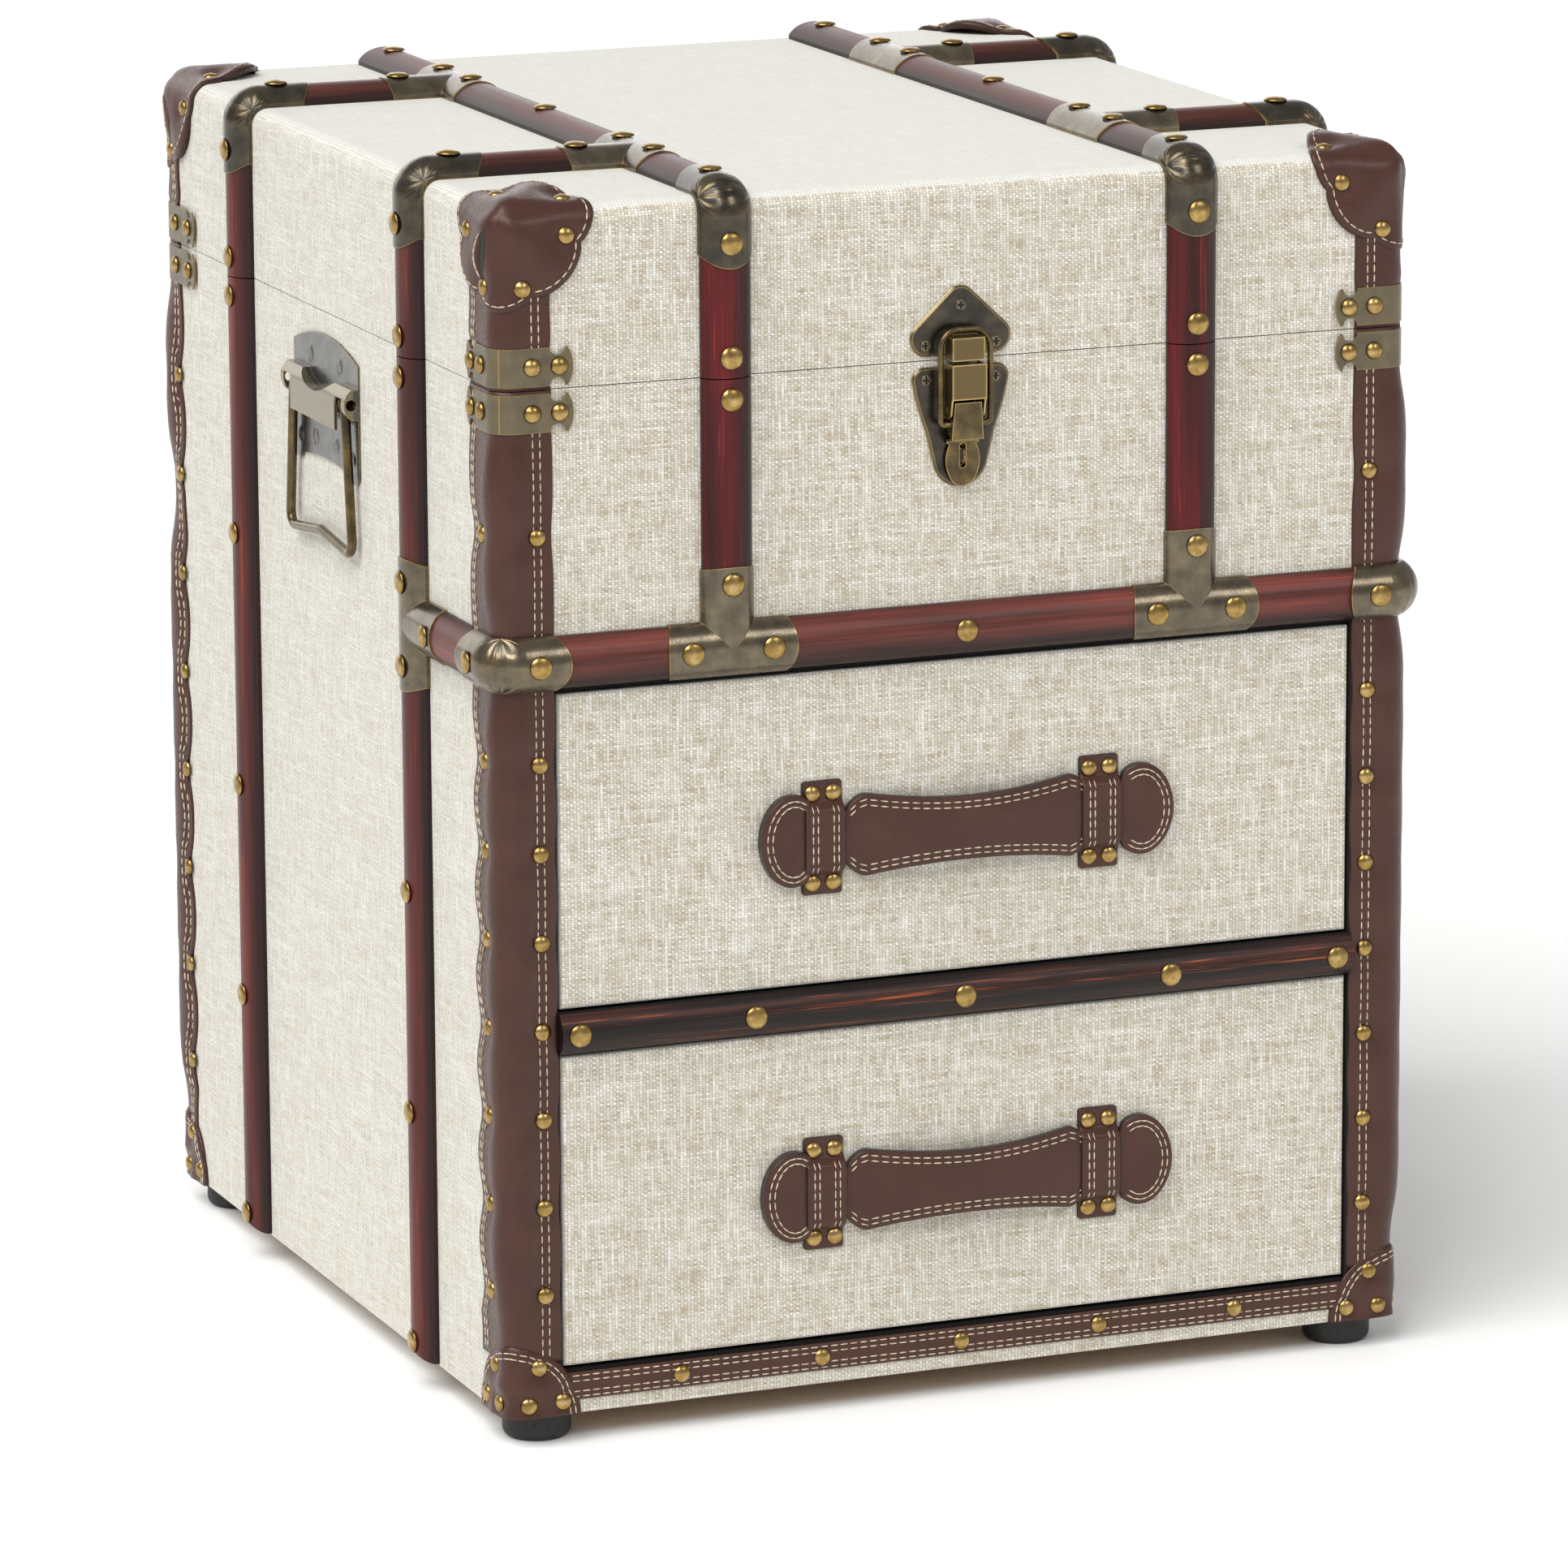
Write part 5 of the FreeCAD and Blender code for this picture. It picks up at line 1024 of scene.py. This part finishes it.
class TRUNK_OT_leather(bpy.types.Operator):
    """Leather strips on the upright edges, caps on the corners and the band along the foot"""

    bl_idname = "trunk.leather"
    bl_label = "Leather"

    def execute(self, context):
        self.strips()
        self.patches()
        self.band(context)
        return {"FINISHED"}

    def sew(self, name, parts, body):
        """Adds one piece of sewing thread."""
        skin(name, parts, material_named("waxed_thread", sewing_thread), body)

    def strips(self):
        """Strips on the four upright edges of the body and of the lid."""
        rail_z = np.mean([corner[2] for corner in node_box("front_rail")])
        for body, low, high, flats, node in (
                ("trunk", foot_top + 26, body_top, (body_top - 10, rail_z, foot_top + 32),
                 "leather_corner_strips"),
                ("lid", lid_low, lid_top - 36, (lid_low + 10, lid_top - 44), "lid_leather_strips")):
            parts, edges, seams = [], [], []
            for side in SIDES:
                for end in ENDS:
                    levels = STRIP_STUDS[end] if body == "trunk" else np.array([lid_low + 10])
                    strip = CornerStrip(side, end, low, high, levels, flats)
                    made, edge = strip.skin()
                    parts.append(made)
                    edges.append(edge)
                    seams += strip.stitching()
            skin(node + "_hide", parts, leather_material(), body, (node,),
                 {"edge": np.concatenate(edges)})
            self.sew(node + "_stitches", seams, body)

    def patches(self):
        """Caps on the four bottom corners, and on the lid's four with their folds."""
        for body, way, node in (
                ("trunk", -1, "leather_bottom_corners"), ("lid", 1, "lid_leather_corners")):
            parts, edges, seams, slit_shades = [], [], [], []
            for side in SIDES:
                for end in ENDS:
                    patch = CornerPatch(side, end, way)
                    made, edge = patch.skin()
                    parts.append(made)
                    edges.append(edge)
                    seams += patch.stitching()
                    if way > 0:
                        dark, hem, seam = patch.dart()
                        slit_shades.append(dark)
                        parts.append(hem)
                        edges.append(np.zeros(len(hem[0])))
                        seams.append(seam)
            skin(node + "_hide", parts, leather_material(), body, (node,),
                 {"edge": np.concatenate(edges)})
            self.sew(node + "_stitches", seams, body)
            # The black sheets in the folds' slits are painted shade.
            if slit_shades:
                skin(node + "_slits", slit_shades, material_named("moulded_rubber", black_rubber), body)

    def band(self, context):
        """The foot band: a flat strip whose thickness follows a rounded edge on all four sides."""
        sizes = context.scene.trunk_sizes
        low, high = node_box("leather_bottom_band")
        thick = sizes.leather / MM
        rim = np.array([0.0, 0.3, 0.8, 1.5])
        x = np.concatenate([
            low[0] + rim, np.linspace(low[0] + 4, high[0] - 4, 120), high[0] - rim[::-1]])[None, :]
        z = np.concatenate([
            low[2] + rim, np.linspace(low[2] + 3, high[2] - 3, 8), high[2] - rim[::-1]])[:, None]

        def inset(x, z):
            return np.minimum(np.minimum(x - low[0], high[0] - x), np.minimum(z - low[2], high[2] - z))

        def lift(x, z):
            inner = inset(x, z)
            return thick * (0.3 + 0.7 * round_edge(inner, 1.5)) + 0.3 * np.clip(inner / 5, 0, 1)

        def at(x, z, out):
            return np.stack(np.broadcast_arrays(x, front - out, z), -1)

        edge = np.clip(1 - inset(x, z) / 0.8, 0, 1) * 0.6
        part = pillow(at(x, z, lift(x, z)), at(x, z, -0.1))
        skin("leather_bottom_band_hide", [part], leather_material(), "trunk",
             ("leather_bottom_band",), {"edge": np.concatenate([edge.ravel(), edge.ravel()])})
        spots = spaced(low[0] + 2, high[0] - 2, sizes.stitch_pitch / MM)
        rows = [stitch_row(lambda x, out, z=z: at(x, z + 0 * x, lift(x, z) + out), spots, 0.5)
                for z in (low[2] + 1.7, low[2] + 4.2, high[2] - 4.2, high[2] - 1.7)]
        self.sew("leather_bottom_band_stitches", rows, "trunk")


class TRUNK_OT_pulls(bpy.types.Operator):
    """Leather drawer pulls: a bowed strap with round lobes under two loops"""

    bl_idname = "trunk.pulls"
    bl_label = "Drawer pulls"

    # In millimetres: half length of the strap, radius and reach of its lobes, its shift beside the loops,
    # the loops' place and half sizes, the strap's seams in from its rim, the loops' seams from their middle
    HALF, LOBE, LOBE_REACH, SHIFT = 103.0, 21.6, 16.0, 2.5
    LOOP_PLACE, LOOP_HALF_WIDTH, LOOP_HALF_HEIGHT = 69.1, 9.85, 26.75
    STRAP_SEAMS, LOOP_SEAMS = (2.7, 5.2), (-6.3, -3.9, 3.9, 6.3)

    def execute(self, context):
        for drawer in ("upper_drawer", "lower_drawer"):
            low, high = node_box(drawer + "_pull")
            self.pull(drawer, (low + high) / 2)
        return {"FINISHED"}

    def half_height(self, x):
        """Half height of the strap: waist to shoulder, a neck under the loop, then the round lobe."""
        reach = np.abs(x)
        blade = 15.0 + 4.6 * np.clip(reach / 52.0, 0, 1) ** 2
        to_neck = np.clip((reach - 49.0) / 13.0, 0, 1)
        blade = blade - 9.0 * to_neck ** 2.2
        lobe = self.LOBE * np.sqrt(np.clip(1 - ((reach - self.HALF) / self.LOBE_REACH + 1) ** 2, 0, None))
        to_lobe = np.clip((reach - 73.5) / 6.0, 0, 1)
        share = to_lobe ** 2 * (3 - 2 * to_lobe)
        return blade * (1 - share) + lobe * share

    def bow(self, x):
        """How far the strap's back stands off the linen: a low hump between the loops."""
        return 0.8 + 4.7 * np.clip(1 - (x / 58.0) ** 2, 0, 1) ** 1.5

    def out(self, x, rel):
        """How far the strap's face stands off the linen: its back's bow, its thickness and a rounded rim."""
        inset = self.half_height(x) - np.abs(rel)
        held = 1 - 0.3 * np.exp(-((np.abs(x) - 71.0) / 10.0) ** 2)
        lobe = 1.3 * np.clip((np.abs(x) - 78.0) / 8.0, 0, 1)
        thick = 3.7 * (0.74 + 0.26 * round_edge(inset, 1.0)) + 0.6 * np.clip(inset / 9, 0, 1)
        return self.bow(x) + (thick + lobe) * held

    def at(self, x, rel, out):
        """Points before the linen, in line with the pull's middle."""
        return np.stack(np.broadcast_arrays(self.middle[0] + x, front - out, self.middle[2] + rel), -1)

    def pull(self, drawer, centre):
        """One pull: the strap with a dark cut rim, its two loops, and all their stitches."""
        self.middle = centre
        material = material_named("waxed_cowhide_cut", red_leather, "waxed_cowhide_cut", "#292422")
        ends = self.HALF - self.LOBE_REACH * (1 - np.cos(np.linspace(0, QUARTER_TURN, 16)))
        x = np.concatenate([-ends, np.linspace(-ends[-1], ends[-1], 130)[1:-1], ends[::-1]])[None, :]
        share = np.sin(np.linspace(-QUARTER_TURN, QUARTER_TURN, 23))[:, None]
        half = self.half_height(x)
        rel = half * share
        edge = np.clip(1.2 - half * (1 - np.abs(share)) / 0.6, 0, 1)
        parts = [pillow(*(self.at(x + self.SHIFT, rel, out) for out in (self.out(x, rel), self.bow(x))))]
        values = [edge.ravel(), np.ones(edge.size)]
        seams = self.strap_seams()
        for side in SIDES:
            part, value = self.loop(side * self.LOOP_PLACE)
            parts.append(part)
            values.append(value)
            seams += self.loop_seams(side * self.LOOP_PLACE)
        skin(drawer + "_pull_hide", parts, material, drawer, (drawer + "_pull",),
             {"edge": np.concatenate(values)})
        thread = material_named("waxed_thread", sewing_thread)
        skin(drawer + "_pull_stitches", seams, thread, drawer)

    def strap_seams(self):
        """Two rows of stitches inside the strap's outline: along both long edges and round the lobes."""
        pitch = bpy.context.scene.trunk_sizes.stitch_pitch / MM
        rows = []
        for inset in self.STRAP_SEAMS:
            for side in SIDES:
                def along(x, lift, side=side, inset=inset):
                    rel = side * (self.half_height(x) - inset)
                    return self.at(x + self.SHIFT, rel, self.out(x, rel) + lift)

                def around(angle, lift, side=side, inset=inset):
                    x = side * (self.HALF - self.LOBE_REACH + (self.LOBE_REACH - inset) * np.cos(angle))
                    rel = (self.LOBE - inset) * np.sin(angle)
                    return self.at(x + self.SHIFT, rel, self.out(x, rel) + lift)

                rows.append(stitch_row(along, spaced(-60.0, 60.0, pitch), 0.3))
                rows.append(stitch_row(around, spaced(-2.1, 2.1, pitch / (self.LOBE - inset)), 0.02))
        return rows

    def loop_out(self, x, rel, half):
        """Back and face of a loop off the linen: it steps over the strap and is rounded at its rim."""
        climb = np.clip((18.5 - np.abs(rel)) / 5.5, 0, 1)
        base = 4.4 * climb ** 2 * (3 - 2 * climb) + 0 * x
        inset = np.minimum(half - np.abs(x), self.LOOP_HALF_HEIGHT - np.abs(rel))
        face = base + 2.0 * (0.6 + 0.4 * round_edge(inset, 1.0)) + 0.25 * np.clip(inset / 5, 0, 1)
        return base, face, inset

    def loop(self, middle):
        """A loop: a flat tab over the strap with a dark cut rim."""
        tall = self.LOOP_HALF_HEIGHT
        rel = np.concatenate([np.linspace(-tall, -tall + 2, 5), np.linspace(-24.2, 24.2, 60),
                              np.linspace(tall - 2, tall, 5)])[:, None]
        share = np.concatenate([[-1, -0.97, -0.92], np.linspace(-0.85, 0.85, 9), [0.92, 0.97, 1]])[None, :]
        corner = np.clip((np.abs(rel) - tall + 1.5) / 1.5, 0, 1)
        half = self.LOOP_HALF_WIDTH - 1.5 * (1 - np.sqrt(1 - corner ** 2))
        x = half * share
        base, face, inset = self.loop_out(x, rel, half)
        edge = np.clip(1.1 - inset / 0.6, 0, 1)
        part = pillow(self.at(middle + x, rel, face), self.at(middle + x, rel, base + 0.02))
        return part, np.concatenate([edge.ravel(), edge.ravel()])

    def loop_seams(self, middle):
        """Upright rows of stitches, two beside each edge of a loop."""
        pitch = bpy.context.scene.trunk_sizes.stitch_pitch / MM
        rows = []
        for offset in self.LOOP_SEAMS:
            def upright(rel, lift, offset=offset):
                face = self.loop_out(offset, rel, self.LOOP_HALF_WIDTH)[1]
                return self.at(middle + offset, rel, face + lift)

            rows.append(stitch_row(upright, spaced(-16.5, 16.5, pitch), 0.3))
        return rows


# Triangles of one nail or screw head in the frame
HEAD_TRIANGLES = 28


def head_boxes(node):
    """Lowest and highest corner of each nail or screw head in the frame, from its run of triangles."""
    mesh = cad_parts[node].data
    mesh.calc_loop_triangles()
    corners = np.empty(len(mesh.loop_triangles) * 3, np.int32)
    mesh.loop_triangles.foreach_get("vertices", corners)
    places = np.empty(len(mesh.vertices) * 3, np.float32)
    mesh.vertices.foreach_get("co", places)
    if corners.size % (3 * HEAD_TRIANGLES):
        raise RuntimeError(node + " isn't made of whole heads")
    each = places.reshape(-1, 3)[corners].reshape(-1, 3 * HEAD_TRIANGLES, 3) / MM
    return each.min(1), each.max(1)


def on_heads(node, shape, only=(0, 1, 2)):
    """Copies of a turned shape, of radius 1 and height 1, on a node's heads that face along some axes."""
    low, high = head_boxes(node)
    wanted = np.isin((high - low).argmin(1), only)
    low, high = low[wanted], high[wanted]
    size = high - low
    axis = size.argmin(1)
    number = np.arange(len(size))
    middle = (low + high) / 2
    box_middle = np.array([0, (front + back) / 2, (foot_top + lid_top) / 2])
    outward = np.zeros_like(middle)
    outward[number, axis] = np.sign((middle - box_middle)[number, axis])
    right = np.zeros_like(middle)
    right[number, (axis + 1) % 3] = 1
    up = np.cross(outward, right)
    height = size[number, axis]
    radius = size[number, (axis + 1) % 3] / 2
    base = middle - outward * (height / 2)[:, None]
    points = base[:, None, None, :] + sum(
        shape[None, ..., i:i + 1] * (way * reach[:, None])[:, None, None, :]
        for i, (way, reach) in enumerate(((right, radius), (up, radius), (outward, height))))
    count = shape.shape[0] * shape.shape[1]
    faces = grid_faces(*shape.shape[:2], closed=True)[None] + (number * count)[:, None, None]
    return points.reshape(-1, 3), faces.reshape(-1, 4), len(size)


class TRUNK_OT_studs(bpy.types.Operator):
    """Brass domes on every nail head of the frame"""

    bl_idname = "trunk.studs"
    bl_label = "Studs"

    def execute(self, context):
        material = stud_brass()
        around = np.arange(16) / 16 * 2 * HALF_TURN
        ring = np.array([0.0, 1.0, math.cos(0.32), math.cos(0.75), 0.0])[:, None]
        rise = np.array([-0.06, 0.0, math.sin(0.32), math.sin(0.75), 1.0])[:, None] + 0 * around
        dome = np.stack([ring * np.cos(around), ring * np.sin(around), rise], -1)
        # Share of painted shade on each ring of the dome, most at its foot.
        foot_shade = np.array([1, 0.9, 0.3, 0.0, 0.0])[:, None] + 0 * around
        for node, body in (("body_studs", "trunk"), ("lid_studs", "lid"),
                           ("upper_drawer_studs", "upper_drawer"), ("lower_drawer_studs", "lower_drawer")):
            points, faces, count = on_heads(node, dome)
            skin(node + "_domes", [(points, faces)], material, body, (node,),
                 {"rim": np.tile(foot_shade.ravel(), count)})
        return {"FINISHED"}


class TRUNK_OT_screws(bpy.types.Operator):
    """Cross-headed screws in the latch, handles and hinges"""

    bl_idname = "trunk.screws"
    bl_label = "Screws"

    def execute(self, context):
        """A low dome, 1 - r^4 high, with a cross sunk into it: two slots that taper down to the middle."""
        around = np.arange(32) / 32 * 2 * HALF_TURN
        ring = np.array([0.0, 1.0, 1.0, 0.93, 0.8, 0.66, 0.5, 0.34, 0.18, 0.0])[:, None]
        x, y = ring * np.cos(around), ring * np.sin(around)
        bar = np.minimum(np.abs(x), np.abs(y))
        cross = np.clip((0.20 - bar) / 0.10, 0, 1) * np.clip((0.74 - ring) / 0.10, 0, 1)
        rise = 0.55 + 0.45 * (1 - ring ** 4) - 0.8 * cross
        rise[0], rise[1], rise[2] = -0.1, -0.1, 0.45
        cross[:2] = 0
        head = np.stack([x, y, rise], -1)
        # The sunk crosses are drawn near-black: painted shade in the slots.
        steel = rubbed_metal("screw_steel", STEEL, "#c9c6bb", 0.3, 0.3, ("#0f0e0d", shade_in_the_slot))
        bronze = rubbed_metal("screw_bronze", OLIVE, "#b89a5c", 0.3, 0.3, ("#0f0e0d", shade_in_the_slot))
        for name, node, body, only, material, replaced in (
                ("handle_screw_heads", "body_screws", "trunk", (0,), steel, ("body_screws",)),
                ("latch_and_hinge_screw_heads", "body_screws", "trunk", (1,), bronze, ()),
                ("lid_screw_heads", "lid_screws", "lid", (0, 1, 2), bronze, ("lid_screws",))):
            points, faces, count = on_heads(node, head, only)
            skin(name, [(points, faces)], material, body, replaced,
                 {"slot": np.tile(cross.ravel(), count)})
        self.bosses(around)
        return {"FINISHED"}

    def bosses(self, around):
        """Swellings of the handle plates round their screws: rings of a bell curve of the distance."""
        ring = np.array([0.0, 0.9, 1.15, 1.4, 1.7, 2.0, 0.0])[:, None]
        rise = 0.75 * np.exp(-(np.maximum(ring - 0.9, 0) / 0.5) ** 2) - 0.04 + 0 * around
        rise[-1] = -0.2
        swelling = np.stack([ring * np.cos(around), ring * np.sin(around), rise], -1)[::-1]
        points, faces, _ = on_heads("body_screws", swelling, (0,))
        steel = rubbed_metal("grey_steel_boss", DARK_STEEL, "#6a6964", 0.3, 0.24)
        skin("handle_plate_bosses", [(points, faces)], steel, "trunk")


class TRUNK_OT_metal(bpy.types.Operator):
    """Antiqued finishes on brackets, straps, latch, handles and hinges"""

    bl_idname = "trunk.metal"
    bl_label = "Metal fittings"

    # Height off the linen, in millimetres, past which the latch and the handles are of their second colour
    PLATE_RELIEF = 3.6

    def execute(self, context):
        gold = "#b89a5c"
        bent = ("#a88a52", at_the_bend)
        raised = ("#6d5a36", standing_past("Y", self.PLATE_RELIEF - front))
        # One bronze in two copies: painted shade on the elbows, painted sheen on the tees and the corner
        # brackets.
        bronze = rubbed_metal("bronze_shaded_copy", SHADED_BRACKET_METAL, gold, 0.9, 0.24, bent, bend_folds)
        finish_nodes(("lid_elbow_brackets",), bronze)
        light = rubbed_metal("bronze_lit_copy", LIT_BRACKET_METAL, gold, 0.9, 0.24, bent, bend_folds)
        finish_nodes(("rail_corner_brackets", "rail_tee_brackets", "lid_tee_brackets"), light)
        strap = rubbed_metal("olive_bronze_strap", OLIVE, gold, 0.5, 0.45, ("#a0854e", at_the_fold))
        finish_nodes((
            "corner_straps_lower", "corner_straps_upper", "hinge_leaves_lower", "hinge_leaves_upper",
            "hinge_pins"), strap)
        plate = rubbed_metal("charcoal_bronze", CHARCOAL, "#cdb06e", 1.6, 0.32, raised)
        finish_nodes(("latch_plate", "latch_pin", "latch_keeper"), plate)
        lever = rubbed_metal("rubbed_brass", GOLD_BROWN, "#c9ab66", 0.9, 0.28)
        finish_nodes(("latch_lever", "latch_bail", "handle_bail_left", "handle_bail_right"), lever)
        housing = ("#857b66", standing_past("X", half_width + self.PLATE_RELIEF))
        handle = rubbed_metal("grey_steel_plate", DARK_STEEL, "#a08452", 1.0, 0.24, housing)
        finish_nodes(("handle_plates",), handle)
        return {"FINISHED"}


class TRUNK_PT_sidebar(bpy.types.Panel):
    """Lists the steps that dress the chest"""

    bl_label = "Linen trunk chest"
    bl_idname = "TRUNK_PT_sidebar"
    bl_space_type = "VIEW_3D"
    bl_region_type = "UI"
    bl_category = "Trunk"

    def draw(self, context):
        for operator in STEPS:
            self.layout.operator(operator.bl_idname)
        for group in (context.scene.trunk_sizes, context.scene.trunk_colours):
            for key in group.__annotations__:
                self.layout.prop(group, key)


STEPS = (
    TRUNK_OT_stage, TRUNK_OT_linen, TRUNK_OT_battens, TRUNK_OT_leather, TRUNK_OT_pulls, TRUNK_OT_studs,
    TRUNK_OT_screws, TRUNK_OT_metal)
CLASSES = (TrunkSizes, TrunkColours, *STEPS, TRUNK_PT_sidebar)


def register():
    """Adds the settings, the steps and the sidebar."""
    for each in CLASSES:
        bpy.utils.register_class(each)
    bpy.types.Scene.trunk_sizes = PointerProperty(type=TrunkSizes)
    bpy.types.Scene.trunk_colours = PointerProperty(type=TrunkColours)


def unregister():
    """Takes them away again."""
    del bpy.types.Scene.trunk_colours
    del bpy.types.Scene.trunk_sizes
    for each in reversed(CLASSES):
        bpy.utils.unregister_class(each)


def main():
    """Dresses the frame step by step."""
    register()
    bpy.ops.trunk.stage()
    bpy.ops.trunk.linen()
    bpy.ops.trunk.battens()
    bpy.ops.trunk.leather()
    bpy.ops.trunk.pulls()
    bpy.ops.trunk.studs()
    bpy.ops.trunk.screws()
    bpy.ops.trunk.metal()


if __name__ == "__main__":
    main()
